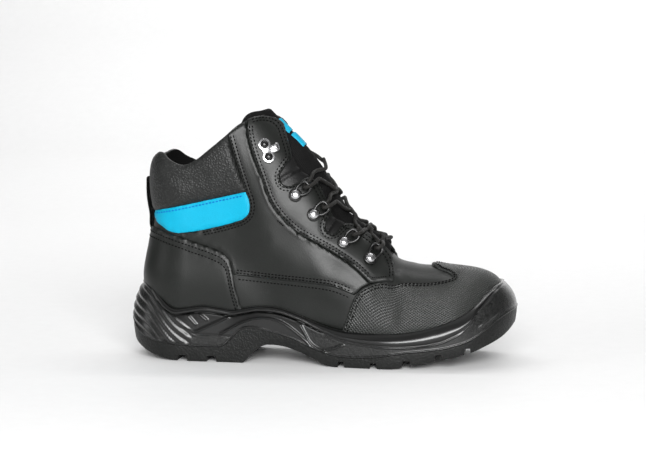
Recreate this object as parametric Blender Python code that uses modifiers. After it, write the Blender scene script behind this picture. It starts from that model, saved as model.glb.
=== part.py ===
"""Safety hiker boot for the right foot, an assembly of separate pieces standing on its sole.

Sizes are in millimetres and MM turns them into metres. +X points to the toe, +Z is up and
-Y is the outer side of the foot. The origin is on the floor, under the middle of the sole.
"""

import math
from collections import namedtuple

import bmesh
import bpy
import numpy as np
from mathutils import Matrix, Vector

MM = 0.001
GAP = 0.3  # clearance between pieces that meet
WALL = 2.2  # thickness of the upper's wall
OUTER, INNER = -1, 1  # the two sides of the foot, as signs of Y
SIDES = {"lateral": OUTER, "medial": INNER}
FAR, UNDER = 260.0, -20.0  # reach of a cutter past the boot and under it
# Middle of the throat, and how far the panels of one side keep from it
RIDGE_MIDDLE, RIDGE_CLEAR = -2.4, 7.8
THROAT_HALF, THROAT_ENDS = 12.4, (-75.0, 57.8)  # least half width of the throat, and its reach
THROAT_LOW = 70.0  # height under the throat at which its cutter starts

# The last: a shape that turns about an upright axis at the heel and another at the toe
HEEL_AXIS, TOE_AXIS = -105.0, 95.0
HEEL_ROUND, TOE_ROUND = 2.15, 2.3  # exponents of the two rounded ends in plan
TOE_REACH, TOE_CROWN = 50.0, 5.0  # from the toe axis to the tip, and how boxy its profile is
SLOPE_REACH = 10.0  # how far on both sides the ridge's slope is evened out
FORM_TOP = 206.0  # height at which the form's shaft stops
RIDGE_START = (-80, -35)  # where the rows up the form start to crowd towards the ridge
# Stations on one side: how many round the heel and the toe, and the places along the foot
Steps = namedtuple("Steps", "heel places toe")
FORM_STEPS = Steps(4, (-105, -88, -71, -54, -38, -24, -10, 5, 20, 34, 46, 54, 60, 72, 84), 4)
FORM_ROWS = 7

# One row for each section across the foot: places along X, heights in Z and half widths.
# The wall rises from the feather edge and closes over the ridge, rounding within depth of it.
Section = namedtuple("Section", "x centre feather ridge depth fullness foot belly ankle collar")
SECTIONS = (
    Section(-140, 0.0, 25.0, 334.0, 60, 2.00, 29.0, 33.5, 32.0, 35.0),
    Section(-105, 0.0, 24.5, 286.0, 60, 2.00, 29.0, 33.5, 32.0, 35.0),
    Section(-70, -0.8, 24.0, 238.5, 55, 2.00, 28.5, 34.0, 33.5, 36.0),
    Section(-36, -2.2, 22.5, 193.5, 48, 2.00, 29.5, 35.0, 35.5, 37.0),
    Section(-18, -2.8, 21.0, 172.0, 46, 2.00, 31.0, 36.6, 36.8, 37.5),
    Section(0, -3.0, 19.5, 149.5, 44, 2.05, 33.0, 38.5, 38.0, 38.0),
    Section(25, -2.4, 17.5, 113.5, 46, 2.15, 38.0, 42.5, 41.0, 40.0),
    Section(40, -1.7, 16.6, 102.5, 52, 2.18, 40.6, 44.8, 43.0, 41.2),
    Section(52, -1.1, 16.0, 93.0, 56, 2.20, 42.2, 46.2, 44.2, 42.2),
    Section(60, -0.7, 16.1, 82.2, 58, 2.25, 42.8, 46.8, 44.6, 42.6),
    Section(75, 0.0, 16.5, 77.5, 61, 2.30, 43.0, 47.0, 45.0, 43.0),
    Section(95, 1.2, 18.5, 75.0, 57, 2.40, 41.0, 45.0, 44.0, 43.0),
    Section(125, 4.0, 25.0, 72.0, 50, 2.50, 36.0, 40.0, 39.0, 38.0),
    Section(154, 7.0, 33.0, 68.0, 45, 2.50, 30.0, 34.0, 33.0, 32.0),
)
WIDTH_LEVELS = (("foot", 0.0), ("belly", 18.0), ("ankle", 82.0), ("collar", 148.0))

# The heel's back line, as x at each height
Back = namedtuple("Back", "z x")
BACK_LINE = (
    Back(20, -137.0), Back(45, -143.0), Back(62, -144.0), Back(78, -143.0), Back(92, -141.0),
    Back(106, -138.4), Back(120, -136.5), Back(140, -136.8), Back(154, -136.4), Back(166, -133.4),
    Back(206, -126.0),
)

# The sole in plan: middle line and half width, round the same two axes
SOLE_STEPS = Steps(5, tuple(range(-105, 90, 15)), 5)
SOLE_HEEL_REACH, SOLE_TOE_REACH = 50.4, 60.4
Plan = namedtuple("Plan", "x centre half")
SOLE_PLAN = (
    Plan(-105, 0.0, 39.5), Plan(-70, -0.8, 39.5), Plan(-35, -2.6, 40.0), Plan(0, -3.4, 43.2),
    Plan(35, -2.2, 48.8), Plan(65, -0.5, 52.4), Plan(95, 1.2, 50.8), Plan(125, 4.0, 44.0),
    Plan(154, 7.0, 40.0),
)

# The sole from the side: tread, line between outsole and midsole, and midsole rim
Height = namedtuple("Height", "x z")
TREAD_LINE = (
    Height(-157, 20.0), Height(-154.5, 16.6), Height(-150.2, 12.5), Height(-143.4, 8.4),
    Height(-135, 4.8), Height(-126, 2.2), Height(-112, 0.5), Height(-104, 0.0), Height(-80, 0.0),
    Height(-59, 0.0), Height(-51, 7.0), Height(-44, 13.0), Height(-36, 15.2), Height(-26, 14.6),
    Height(-12, 10.6), Height(0, 5.6), Height(9, 1.2), Height(17, 0.0), Height(36, 0.0), Height(56, 0.0),
    Height(69, 1.6), Height(93, 6.4), Height(112, 10.2), Height(123, 13.0), Height(133.6, 17.4),
    Height(141, 20.8), Height(147, 24.2), Height(151, 27.4), Height(155, 31.5),
)
PARTING_LINE = (
    Height(-157, 33.0), Height(-151, 26.5), Height(-144.6, 20.8), Height(-135, 16.6), Height(-120, 14.0),
    Height(-106, 12.8), Height(-92, 12.2), Height(-79, 12.2), Height(-73.5, 13.4), Height(-66, 20.2),
    Height(-58.5, 26.8), Height(-48, 28.4), Height(-37, 26.0), Height(-16, 20.2), Height(-3, 14.7),
    Height(9, 10.6), Height(27, 8.0), Height(45, 8.6), Height(72, 12.8), Height(91, 14.8),
    Height(101, 16.2), Height(111, 18.8), Height(119, 21.4), Height(126, 25.2), Height(134, 31.0),
    Height(142, 37.2), Height(149, 41.2), Height(155, 43.5),
)
RIM_LINE = (
    Height(-154.5, 63.0), Height(-147, 61.5), Height(-138, 57.0), Height(-129, 49.5), Height(-120, 43.2),
    Height(-113, 41.0), Height(-104, 42.2), Height(-90, 44.0), Height(-76, 42.4), Height(-67, 41.2),
    Height(-58, 42.8), Height(-44, 45.0), Height(-30, 44.0), Height(-14, 39.4), Height(5, 32.0),
    Height(24, 27.6), Height(47, 26.6), Height(68, 27.4), Height(88, 31.0), Height(104, 35.6),
    Height(119, 41.5), Height(131, 49.0), Height(142, 57.5), Height(150, 62.5), Height(154, 63.5),
)
DECK_SHARE = 0.8  # share of the half width at which the two sole layers meet on a level deck
DECK_UNDER_FEATHER, DECK_OVER_TREAD = 4.0, 2.5
MIDSOLE_CAP = 48.0  # height of the uncut midsole along its middle line
TREAD_RINGS = (0.93, 0.6)  # rings of the tread's surface, as shares of the half width
TREAD_ROUND = 1.2  # how far the outsole's side draws in at the tread

# How far the sole's side leans in towards its rim: from this share of its height, by this much
Lean = namedtuple("Lean", "start power inset")
LEANS = {"side": Lean(0.6, 2.0, 1.6), "heel": Lean(0.3, 2.0, 11.0), "toe": Lean(0.3, 2.4, 11.5)}
BEAD = ((6.0, -1.1), (2.4, 0.5), (0.0, -1.0))  # rim bead: distance under the rim, relief
HEEL_RIBS, RIB_RELIEF = 3, 0.9

# Grooves across the tread: each from one x to the next, and two channels along it
Groove = namedtuple("Groove", "start end")
GROOVES = (
    Groove(-112.3, -102.4), Groove(-88.3, -78.5), Groove(18.0, 25.0), Groove(43.4, 50.7),
    Groove(68.4, 77.0), Groove(93.1, 100.8), Groove(115.7, 122.8),
)
GROOVE_DEPTH, GROOVE_SLANT = 4.5, 1.5
Channel = namedtuple("Channel", "start end y width")
CHANNELS = (
    Channel(-128, -64, 0.0, 7.0), Channel(12, 128, -14.0, 5.0), Channel(12, 128, 18.0, 5.0),
)

# Edges of the upper's panels in side view, each a smooth curve through its own points
Edge = namedtuple("Edge", "x z")
COLLAR_EDGE = (
    Edge(-150, 158.0), Edge(-135, 161.5), Edge(-127, 165.5), Edge(-119, 160.0), Edge(-107, 155.4),
    Edge(-98, 158.6), Edge(-85, 168.0), Edge(-73, 177.8), Edge(-60, 188.8), Edge(-44, 193.4),
    Edge(-36, 190.8), Edge(-28, 179.5),
)
THROAT_EDGE = (
    Edge(-28, 179.5), Edge(-23.5, 166.5), Edge(-16, 152.0), Edge(-7, 143.0), Edge(2, 133.0),
    Edge(10, 120.0), Edge(18, 110.6), Edge(25, 107.8), Edge(32, 104.0), Edge(40, 98.6), Edge(48, 92.4),
    Edge(54, 87.0), Edge(57.8, 83.0),
)
VAMP_TOP = Edge(58.2, 95.0)  # just in front of the throat, over the vamp
CUFF_SEAM = (Edge(-70.2, 180.2), Edge(-68.8, 175.5), Edge(-61, 151.0), Edge(-55.6, 135.0))
BAND_SEAM = (
    Edge(-150, 113.5), Edge(-135, 117.5), Edge(-109, 123.0), Edge(-84, 128.6), Edge(-55.6, 135.0),
)
BAND_FRONT = (Edge(-55.6, 135.0), Edge(-52.2, 125.0), Edge(-53.2, 118.0), Edge(-58.5, 113.2))
BAND_UNDER = (
    Edge(-58.5, 113.2), Edge(-67.5, 110.2), Edge(-82.7, 106.2), Edge(-98, 103.0), Edge(-111, 101.4),
)
BAND_BACK = (
    Edge(-111, 101.4), Edge(-118, 102.4), Edge(-126, 106.4), Edge(-132.6, 111.0), Edge(-133.6, 117.9),
)
COUNTER_EDGE = (
    Edge(-150, 106.0), Edge(-134, 104.6), Edge(-113, 99.0), Edge(-98, 94.2), Edge(-83, 89.4),
    Edge(-73.6, 85.0), Edge(-68.8, 79.0), Edge(-66.8, 72.0), Edge(-64, 59.0), Edge(-59, 40.0),
)
QUARTER_UNDER = (
    Edge(-66, 69.4), Edge(-37, 66.7), Edge(-7, 64.8), Edge(14.6, 62.2), Edge(31.2, 56.4),
)
EYESTAY_UNDER = (
    Edge(-56.5, 190.0), Edge(-54.6, 178.5), Edge(-51.3, 167.0), Edge(-43.5, 147.0), Edge(-36, 128.4),
    Edge(-24, 112.7), Edge(-13.8, 104.2), Edge(1, 95.7), Edge(18, 85.6), Edge(35, 73.8), Edge(43.4, 66.4),
)
EYESTAY_TOP = (
    Edge(-55.6, 191.6), Edge(-50, 193.6), Edge(-44, 194.0), Edge(-36.4, 191.6), Edge(-31, 186.4),
    Edge(-26.5, 177.0), Edge(-22.2, 166.5),
)
FIRST_NOTCH = (
    Edge(-22.2, 166.5), Edge(-21.4, 161.0), Edge(-25, 155.0), Edge(-28.4, 147.5), Edge(-26.5, 141.6),
    Edge(-21, 140.0), Edge(-13.5, 144.0), Edge(-8, 146.4),
)
MIDDLE_EDGE = (Edge(-8, 146.4), Edge(-3, 143.6), Edge(1.5, 137.2), Edge(6, 129.0), Edge(10.6, 121.0))
SECOND_NOTCH = (
    Edge(10.6, 121.0), Edge(9.4, 115.5), Edge(7.2, 110.0), Edge(9, 104.4), Edge(13.4, 103.0),
    Edge(17, 106.0), Edge(20.4, 110.2),
)
LOWER_EDGE = (
    Edge(20.4, 110.2), Edge(25, 109.4), Edge(32, 105.6), Edge(40, 100.2), Edge(48, 94.0), Edge(54, 88.6),
    Edge(57.6, 83.0), Edge(59.6, 75.0), Edge(59.4, 66.6),
)
CAP_BACK = (
    Edge(16, 10.0), Edge(21, 26.0), Edge(25.2, 37.0), Edge(28.6, 46.7), Edge(32.4, 56.0), Edge(38, 62.0),
    Edge(44, 64.6),
)
CAP_UNDER = (Edge(FAR, 48.0), Edge(120, 34.0), Edge(90, 22.0), Edge(60, 12.0))  # hidden in the sole
# Half width in plan of the vamp's window between the cap's wings
Window = namedtuple("Window", "x half")
CAP_WINDOW = (
    Window(87.5, 0.0), Window(89, 5.2), Window(95, 12.6), Window(103.4, 19.0), Window(106.2, 23.6),
    Window(103.6, 28.6), Window(96.5, 31.6), Window(81.5, 33.8), Window(66, 35.8), Window(54.7, 39.0),
    Window(44, 42.2),
)
TONGUE_TOP = (
    Edge(-68, 182.0), Edge(-64.6, 190.5), Edge(-60, 196.6), Edge(-54, 199.2), Edge(-45, 198.6),
    Edge(-38, 199.5),
)
LABEL_ENDS = (Edge(-34.5, 190.5), Edge(-15.5, 169.8))  # on the ridge, top and bottom
LABEL_HALF = 7.4

CAP_OVER, WINDOW_LOW = 110.0, 40.0  # height over the cap, and under its window
BAND_CLEAR = 0.25  # how far the band's rim keeps from its seams
NOTCH_STEP = 5.5  # distance between points round a notch

# Thicknesses
CAP_THICK, COUNTER_THICK, EYESTAY_THICK, QUARTER_THICK, BAND_THICK = 1.8, 1.6, 1.8, 1.0, 1.2
CUFF_EDGE_THICK, CUFF_SWELL = 1.3, 2.4
TONGUE_THICK, TONGUE_CLEAR = 5.0, 1.6
# The tongue from its top down: half the width it swells over between the eyestays, half its
# whole width, and how far it swells
Padding = namedtuple("Padding", "x half edge rise")
TONGUE = (
    Padding(-72, 20.0, 31.0, 1.7), Padding(-62, 18.0, 31.0, 1.7), Padding(-52, 15.0, 31.0, 1.7),
    Padding(-44, 12.5, 30.5, 2.4), Padding(-36, 8.4, 30.0, 3.8), Padding(-28, 10.5, 29.5, 4.9),
    Padding(-20, 16.0, 29.0, 6.3), Padding(-12, 18.0, 29.0, 6.9), Padding(-4, 18.0, 29.0, 6.6),
    Padding(8, 18.0, 29.0, 5.6), Padding(20, 14.5, 28.0, 5.1), Padding(32, 12.0, 27.0, 4.8),
    Padding(43, 10.8, 26.0, 5.5), Padding(51, 10.6, 26.0, 5.8), Padding(55.4, 10.0, 26.0, 3.4),
    Padding(57.4, 9.6, 26.0, 0.0), Padding(67, 10.0, 26.0, 0.0),
)
SWELL_SHARES, EDGE_SHARES = (0.0, 0.5, 1.0), (0.5, 1.0)  # rows of the tongue across its half
LABEL_THICK = 0.8
INSOLE_THICK, INSOLE_CLEAR = 4.5, 0.9
LOOP_HALF, LOOP_THICK, LOOP_LOW, LOOP_HIGH = 9.0, 2.2, 108.5, 144.0
LOOP_STANDS = ((0.0, 0.2, 0.35, 0.6, 1.0), (0.9, 3.4, 4.4, 5.4, 6.0))  # off the form, up its height

# Hardware: places of the rivets on the eyestay from the side, from the top ring down, and how much
# deeper than the others each one sits
Seat = namedtuple("Seat", "x z sunk")
RING_SEATS = (Seat(-16.5, 132.6, 0.0), Seat(-2.4, 117.4, 0.0), Seat(21.3, 95.5, 0.0), Seat(41.5, 83.0, 0.7))
HOOK_SEAT = Seat(-40.0, 166.5, 0.0)
# Rivets as radius and height, from the middle of the underside to the middle of the head
RING_RIVET = ((0, 0), (5.2, 0), (5.2, 1.2), (3.6, 3.1), (0, 3.8))
HOOK_RIVET = ((0, 0.2), (3.6, 0.2), (2.9, 2.7), (0, 3.4))
RIVET_SIDES, RIVET_CLEAR = 6, 0.4
RING_WIRE, RING_HALF, RING_REACH, RING_RISE = 1.1, 4.4, 12.4, 3.4
# The hook: two rivets on a waisted plate, and a tab bent up and back from its edge
HOOK_SPREAD, HOOK_PLATE, HOOK_WAIST, HOOK_THICK, HOOK_TAB_HALF = 10.4, 4.4, 3.0, 1.2, 3.0
HOOK_TURN = math.radians(-18)
HOOK_TAB = (
    (1.0, 0.0), (7.2, 0.0), (9.6, 1.6), (10.2, 4.0), (8.6, 6.0), (5.0, 6.6), (5.0, 5.4), (8.0, 4.9),
    (8.9, 3.6), (8.5, 2.2), (6.8, 1.2), (1.0, 1.2),
)
LACE_RADIUS = 2.0
LACE_CLEAR = 0.3  # from the tongue, the leather and the hardware
LACE_BOW = 2.8  # how far a strand arches between a ring and the ridge
LACE_LAP = 0.8  # how much higher and further along one strand crosses the other
# Where the lace meets the tongue's ridge, from the top strand down to the bar, and how high above it
Peak = namedtuple("Peak", "x stand")
TOP_PEAK = Peak(-2.0, 4.0)
CROSS_PEAKS = (Peak(9.6, 0.0), Peak(21.2, 0.0), Peak(36.0, 0.0))
BAR_PEAK = Peak(46.5, 0.0)


def smooth(knots, values, at, tight=True):
    """Cubic through a table's values, level beyond its ends. A tight one never overshoots them."""
    knots, values, at = (np.asarray(part, float) for part in (knots, values, at))
    slopes = np.gradient(values, knots)
    if tight:
        rates = np.diff(values) / np.diff(knots)
        before, after = np.append(rates[0], rates), np.append(rates, rates[-1])
        most = 3 * np.minimum(np.abs(before), np.abs(after)) * (before * after > 0)
        slopes = np.clip(slopes, -most, most)
    low = np.clip(np.searchsorted(knots, at) - 1, 0, len(knots) - 2)
    step = knots[low + 1] - knots[low]
    s = np.clip((at - knots[low]) / step, 0.0, 1.0)
    rise = values[low + 1] - values[low]
    bend_in, bend_out = slopes[low] * step - rise, rise - slopes[low + 1] * step
    return values[low] + s * rise + s * (1 - s) * ((1 - s) * bend_in + s * bend_out)


def column(table, name, at, key="x"):
    """Value of a table's column at places along its key column."""
    return smooth([getattr(row, key) for row in table], [getattr(row, name) for row in table], at)


def full_width(x, z):
    """Half width of the form where its ridge doesn't round it yet."""
    above = z - column(SECTIONS, "feather", x)
    levels = [level for _, level in WIDTH_LEVELS]
    shares = np.eye(len(levels))
    return sum(
        column(SECTIONS, name, x) * smooth(levels, shares[k], above)
        for k, (name, _) in enumerate(WIDTH_LEVELS)
    )


def ridge_slope(x):
    """Slope of the form's ridge line, evened out along it."""
    span = column(SECTIONS, "ridge", x + SLOPE_REACH) - column(SECTIONS, "ridge", x - SLOPE_REACH)
    return span / (2 * SLOPE_REACH)


def half_width(x, z):
    """Half width of the form at a place along the foot and a height."""
    under_ridge = np.maximum(column(SECTIONS, "ridge", x) - z, 0.0) / np.sqrt(1 + ridge_slope(x) ** 2)
    share = np.clip(under_ridge / column(SECTIONS, "depth", x), 0.0, 1.0)
    fullness = column(SECTIONS, "fullness", x)
    return full_width(x, z) * (1 - (1 - share) ** fullness) ** (1 / fullness)


def saddle_point(x, off):
    """Point of the form near its ridge, at a distance off the middle line."""
    ridge, fullness = column(SECTIONS, "ridge", x), column(SECTIONS, "fullness", x)
    deep = column(SECTIONS, "depth", x) * np.sqrt(1 + ridge_slope(x) ** 2)
    z = ridge
    for _ in range(4):
        across = np.clip(np.abs(off) / full_width(x, z), 0, 1)
        z = ridge - deep * (1 - (1 - across**fullness) ** (1 / fullness))
    return Vector((float(x), float(column(SECTIONS, "centre", x) + off), float(z)))


def saddle_out(x, off, out):
    """Point at a distance out from the form near its ridge."""
    step = 0.5
    along = saddle_point(x + step, off) - saddle_point(x - step, off)
    across = saddle_point(x, off + step) - saddle_point(x, off - step)
    return saddle_point(x, off) + along.cross(across).normalized() * out


def rounded(ahead, aside, angle, exponent):
    """Reach of a rounded end of the foot at an angle from its tip."""
    along, across = np.abs(np.cos(angle)), np.abs(np.sin(angle))
    ahead, aside = np.maximum(ahead, 1e-6), np.maximum(aside, 1e-6)
    return ((along / ahead) ** exponent + (across / aside) ** exponent) ** (-1 / exponent)


def turns(station):
    """Angles round the heel and toe, and place along the foot, for a station. It runs 0 to 1
    round the heel, to 2 along the foot and to 3 round the toe."""
    heel = np.clip(station, 0, 1) * math.pi / 2
    toe = np.clip(3 - station, 0, 1) * math.pi / 2
    return heel, toe, HEEL_AXIS + np.clip(station - 1, 0, 1) * (TOE_AXIS - HEEL_AXIS)


def form_point(side, station, rise):
    """Point of the form. Rise runs from the feather edge at 0 to the ridge or shaft top at 1."""
    heel_turn, toe_turn, run_x = turns(station)
    feather = column(SECTIONS, "feather", run_x)
    top = np.minimum(column(SECTIONS, "ridge", run_x), FORM_TOP)
    share = rise + (np.sin(rise * math.pi / 2) - rise) * smooth(RIDGE_START, (0, 1), run_x)
    z = feather + (top - feather) * share
    aside = half_width(run_x, z)

    back_reach = HEEL_AXIS - column(BACK_LINE, "x", z, key="z")
    heel_reach = rounded(back_reach, aside, heel_turn, HEEL_ROUND)
    tuck = smooth((0.0, 0.3, 1.0), (0.94, 1.0, 1.0), share)
    crown = (1 - np.minimum(share, 1.0) ** TOE_CROWN) ** (1 / TOE_CROWN)
    toe_reach = rounded(TOE_REACH * tuck * crown, aside, toe_turn, TOE_ROUND)

    at_heel, at_toe = station < 1, station > 2
    x = np.where(at_heel, HEEL_AXIS - heel_reach * np.cos(heel_turn), run_x)
    x = np.where(at_toe, TOE_AXIS + toe_reach * np.cos(toe_turn), x)
    y = np.where(at_heel, heel_reach * np.sin(heel_turn), aside)
    y = np.where(at_toe, toe_reach * np.sin(toe_turn), y)
    low, high = column(SECTIONS, "feather", x), column(SECTIONS, "ridge", x)
    z = np.where(at_toe, low + (high - low) * share, z)
    return np.stack([x, column(SECTIONS, "centre", x) + side * y, z], -1)


def spine_point(station, z):
    """Point of the middle line that a station's sections close on."""
    x = turns(station)[2]
    return np.stack([x, column(SECTIONS, "centre", x), z], -1)


def sole_plan(side, station):
    """Place of the sole's widest outline and its outward direction, in plan."""
    heel_turn, toe_turn, run_x = turns(station)
    aside = column(SOLE_PLAN, "half", run_x)
    at_heel, at_toe = station < 1, station > 2
    out_x = np.where(at_heel, -np.cos(heel_turn), np.where(at_toe, np.cos(toe_turn), 0.0))
    out_y = side * np.where(at_heel, np.sin(heel_turn), np.where(at_toe, np.sin(toe_turn), 1.0))
    heel_reach = rounded(SOLE_HEEL_REACH, aside, heel_turn, HEEL_ROUND)
    toe_reach = rounded(SOLE_TOE_REACH, aside, toe_turn, TOE_ROUND)
    reach = np.where(at_heel, heel_reach, np.where(at_toe, toe_reach, aside))
    return run_x, reach, out_x, out_y


def sole_point(side, station, share, z, inset=0.0):
    """Point of the sole at a share of its half width, leaning in towards its rim."""
    run_x, reach, out_x, out_y = sole_plan(side, station)
    reach = (reach - inset) * share
    x = run_x + reach * out_x
    return np.stack([x, column(SOLE_PLAN, "centre", x) + reach * out_y, z + 0.0 * x], -1)


def sole_height(table, station):
    """Height of one of the sole's lines at a station."""
    run_x, reach, out_x, _ = sole_plan(OUTER, station)
    return column(table, "z", run_x + reach * out_x)


def lean_in(station, z):
    """How far the sole's side leans in at a height."""
    tread, rim = sole_height(TREAD_LINE, station), sole_height(RIM_LINE, station)
    height = (z - tread) / (rim - tread)
    heel_turn, toe_turn, _ = turns(station)
    weights = {"heel": np.cos(heel_turn) ** 2, "toe": np.cos(toe_turn) ** 2}
    weights["side"] = 1 - weights["heel"] - weights["toe"]
    return sum(
        weights[key] * lean.inset * np.clip((height - lean.start) / (1 - lean.start), 0, 1) ** lean.power
        for key, lean in LEANS.items()
    )


def deck_height(x):
    """Level at which the outsole and midsole meet inside the sole."""
    tread = column(TREAD_LINE, "z", x)
    under = column(SECTIONS, "feather", x) - DECK_UNDER_FEATHER
    return np.maximum(np.minimum(column(PARTING_LINE, "z", x), under), tread + DECK_OVER_TREAD)


def side_stations(steps):
    """Stations of one side, from the back of the heel to the tip of the toe."""
    heel = np.linspace(0, 1, steps.heel, endpoint=False)
    run = 1 + (np.array(steps.places) - HEEL_AXIS) / (TOE_AXIS - HEEL_AXIS)
    toe = np.linspace(2, 3, steps.toe + 1)
    return np.concatenate([heel, run, toe])


def mapped_grid(columns, rows, place):
    """A skin with each vertex placed from its column and row, welded where places meet."""
    mesh = bmesh.new()
    bmesh.ops.create_grid(mesh, x_segments=columns - 1, y_segments=rows - 1, size=0.5)
    for vert in mesh.verts:
        at, level = round((vert.co.x + 0.5) * (columns - 1)), round((vert.co.y + 0.5) * (rows - 1))
        vert.co = Vector(place(at, level)) * MM
    bmesh.ops.remove_doubles(mesh, verts=mesh.verts, dist=0.02 * MM)
    bmesh.ops.dissolve_degenerate(mesh, edges=mesh.edges, dist=0.02 * MM)
    bmesh.ops.triangulate(mesh, faces=mesh.faces, quad_method="SHORT_EDGE")
    bmesh.ops.recalc_face_normals(mesh, faces=mesh.faces)
    return mesh


def wall_round(steps, rows):
    """A skin round the foot: each row is a function of side and station, giving its points."""
    stations = side_stations(steps)
    round_foot = np.concatenate([stations, stations[-2::-1]])
    sides = np.where(np.arange(len(round_foot)) < len(stations), OUTER, INNER)
    points = [row(sides, round_foot) for row in rows]
    return mapped_grid(len(round_foot), len(rows), lambda at, level: points[level][at])


def form_rows():
    """Rows up the form, as functions of side and station."""
    rises = np.linspace(0, 1, FORM_ROWS)
    return [lambda side, station, rise=rise: form_point(side, station, rise) for rise in rises]


def at_place(value, place):
    """A number, or what a function gives at a vertex's place."""
    return float(value(*(place / MM))) if callable(value) else value


def swell(mesh, distance):
    """Moves every vertex out along its normal."""
    mesh.normal_update()
    moves = [(vert, vert.normal * at_place(distance, vert.co) * MM) for vert in mesh.verts]
    for vert, move in moves:
        vert.co += move
    return mesh


def finish(name, roughness, colour, metallic=0.0):
    """The material of a piece: colour, roughness and metal."""
    made = bpy.data.materials.new(name)
    made.use_nodes = True
    shader = made.node_tree.nodes["Principled BSDF"]
    shader.inputs["Base Color"].default_value = (*colour, 1.0)
    shader.inputs["Roughness"].default_value = roughness
    shader.inputs["Metallic"].default_value = metallic
    return made


def collection(name):
    """A collection of the scene, made when it is first asked for."""
    made = bpy.data.collections.get(name)
    if made is None:
        made = bpy.data.collections.new(name)
        bpy.context.scene.collection.children.link(made)
    return made


def piece(name, mesh, material=None):
    """An object of the boot, from a bmesh or a mesh."""
    data = mesh
    if isinstance(mesh, bmesh.types.BMesh):
        data = bpy.data.meshes.new(name)
        mesh.to_mesh(data)
        mesh.free()
    data.shade_smooth()
    data.set_sharp_from_angle(angle=math.radians(35))
    made = bpy.data.objects.new(name, data)
    collection("safety_hiker_boot").objects.link(made)
    if material:
        data.materials.clear()
        data.materials.append(material)
    return made


def helper(name, mesh):
    """A cutter, left out of the boot."""
    made = piece(name, mesh)
    collection("safety_hiker_boot").objects.unlink(made)
    collection("cutters").objects.link(made)
    made.hide_render = True
    made.display_type = "WIRE"
    return made


def cut(target, cutter, operation="INTERSECT"):
    """Cuts an object by a cutter, or joins them, with a modifier."""
    step = target.modifiers.new(f"{operation.lower()}_{cutter.name}", "BOOLEAN")
    step.operation = operation
    step.object = cutter
    step.solver = "EXACT"
    return target


def evaluated(source):
    """A mesh of an object as its modifiers or curve settings leave it, welded, and the object gone."""
    bpy.context.view_layer.update()
    graph = bpy.context.evaluated_depsgraph_get()
    mesh = bpy.data.meshes.new_from_object(source.evaluated_get(graph))
    mesh.transform(source.matrix_world)
    work = bmesh.new()
    work.from_mesh(mesh)
    bmesh.ops.remove_doubles(work, verts=work.verts, dist=0.01 * MM)
    bmesh.ops.recalc_face_normals(work, faces=work.faces)
    work.to_mesh(mesh)
    work.free()
    bpy.data.objects.remove(source)
    return mesh


def shell(name, mesh, low, thickness, material):
    """A closed skin over a surface, from low to low plus thickness out from it. Both are numbers
    or functions of a place on the surface."""
    depths = [at_place(thickness, vert.co) for vert in mesh.verts]
    made = piece(name, swell(mesh, low), material)
    grow = made.modifiers.new("thickness", "SOLIDIFY")
    grow.thickness = max(depths) * MM
    grow.offset = 1.0
    if callable(thickness):
        group = made.vertex_groups.new(name="padding")
        for index, depth in enumerate(depths):
            group.add([index], depth / max(depths), "REPLACE")
        grow.vertex_group = group.name
    return made


def form_shell(name, low, thickness, material):
    """A closed skin over the whole form."""
    return shell(name, wall_round(FORM_STEPS, form_rows()), low, thickness, material)


def flow(edge, step=8.0):
    """Points of the smooth curve through an edge's own points, about a step apart."""
    points = np.array(edge, float)
    along = np.concatenate([[0], np.cumsum(np.linalg.norm(np.diff(points, axis=0), axis=1))])
    spread = np.linspace(0, along[-1], max(2, round(along[-1] / step) + 1))
    return [tuple(pair) for pair in zip(*(smooth(along, axis, spread, tight=False) for axis in points.T))]


def moved(line, distance):
    """A line of points shifted to its left by a distance."""
    points = np.array(line, float)
    ahead = np.gradient(points, axis=0)
    ahead /= np.linalg.norm(ahead, axis=1)[:, None]
    left = np.stack([-ahead[:, 1], ahead[:, 0]], 1)
    return [tuple(point) for point in points + distance * left]


def extruded(name, outline, low, high, upright=False):
    """A mesh with a flat outline: in side view, reaching across from one Y to another, or upright,
    in plan, reaching from one Z to another."""
    data = bpy.data.curves.new(name, "CURVE")
    data.dimensions = "2D"
    data.fill_mode = "BOTH"
    data.extrude = (high - low) / 2 * MM
    spline = data.splines.new("POLY")
    spline.points.add(len(outline) - 1)
    for point, (across, up) in zip(spline.points, outline):
        point.co = (across * MM, up * MM, 0.0, 1.0)
    spline.use_cyclic_u = True
    guide = bpy.data.objects.new(name, data)
    bpy.context.scene.collection.objects.link(guide)
    middle = (low + high) / 2 * MM
    if upright:
        guide.matrix_world = Matrix.Translation((0, 0, middle))
    else:
        guide.matrix_world = Matrix.Translation((0, middle, 0)) @ Matrix.Rotation(math.pi / 2, 4, "X")
    return evaluated(guide)


def prism(name, outline, low, high, upright=False):
    """A cutter with a flat outline."""
    return helper(name, extruded(name, outline, low, high, upright))


def one_side(side):
    """Y limits of a cutter that takes one side of the foot."""
    if side == OUTER:
        return -FAR, RIDGE_MIDDLE - RIDGE_CLEAR
    return RIDGE_MIDDLE + RIDGE_CLEAR, FAR


def midsole_row(level, rows):
    """Row of the midsole's side wall, with the heel's ribs and the bead under the rim."""
    def row(side, station):
        low, rim = sole_height(PARTING_LINE, station), sole_height(RIM_LINE, station)
        ribbed = np.cos(turns(station)[0]) ** 2
        if level < rows:
            share = level / (rows - 1)
            z = low + (rim - BEAD[0][0] - low) * share
            relief = -ribbed * RIB_RELIEF * np.cos(2 * math.pi * HEEL_RIBS * share)
            if level == rows - 1:
                relief = relief + (1 - ribbed) * BEAD[0][1]
        else:
            under, bead = BEAD[level - rows + 1]
            z, relief = rim - under, (1 - 0.5 * ribbed) * bead
        return sole_point(side, station, 1.0, z, lean_in(station, z) - relief)
    return row


def ring_row(share, height, shift=0.0):
    """Row inside the sole, at a share of its half width and at a height that follows X."""
    def row(side, station):
        flat = sole_point(side, station, share, 0.0)
        flat[:, 2] = height(flat[:, 0]) + shift
        return flat
    return row


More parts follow.
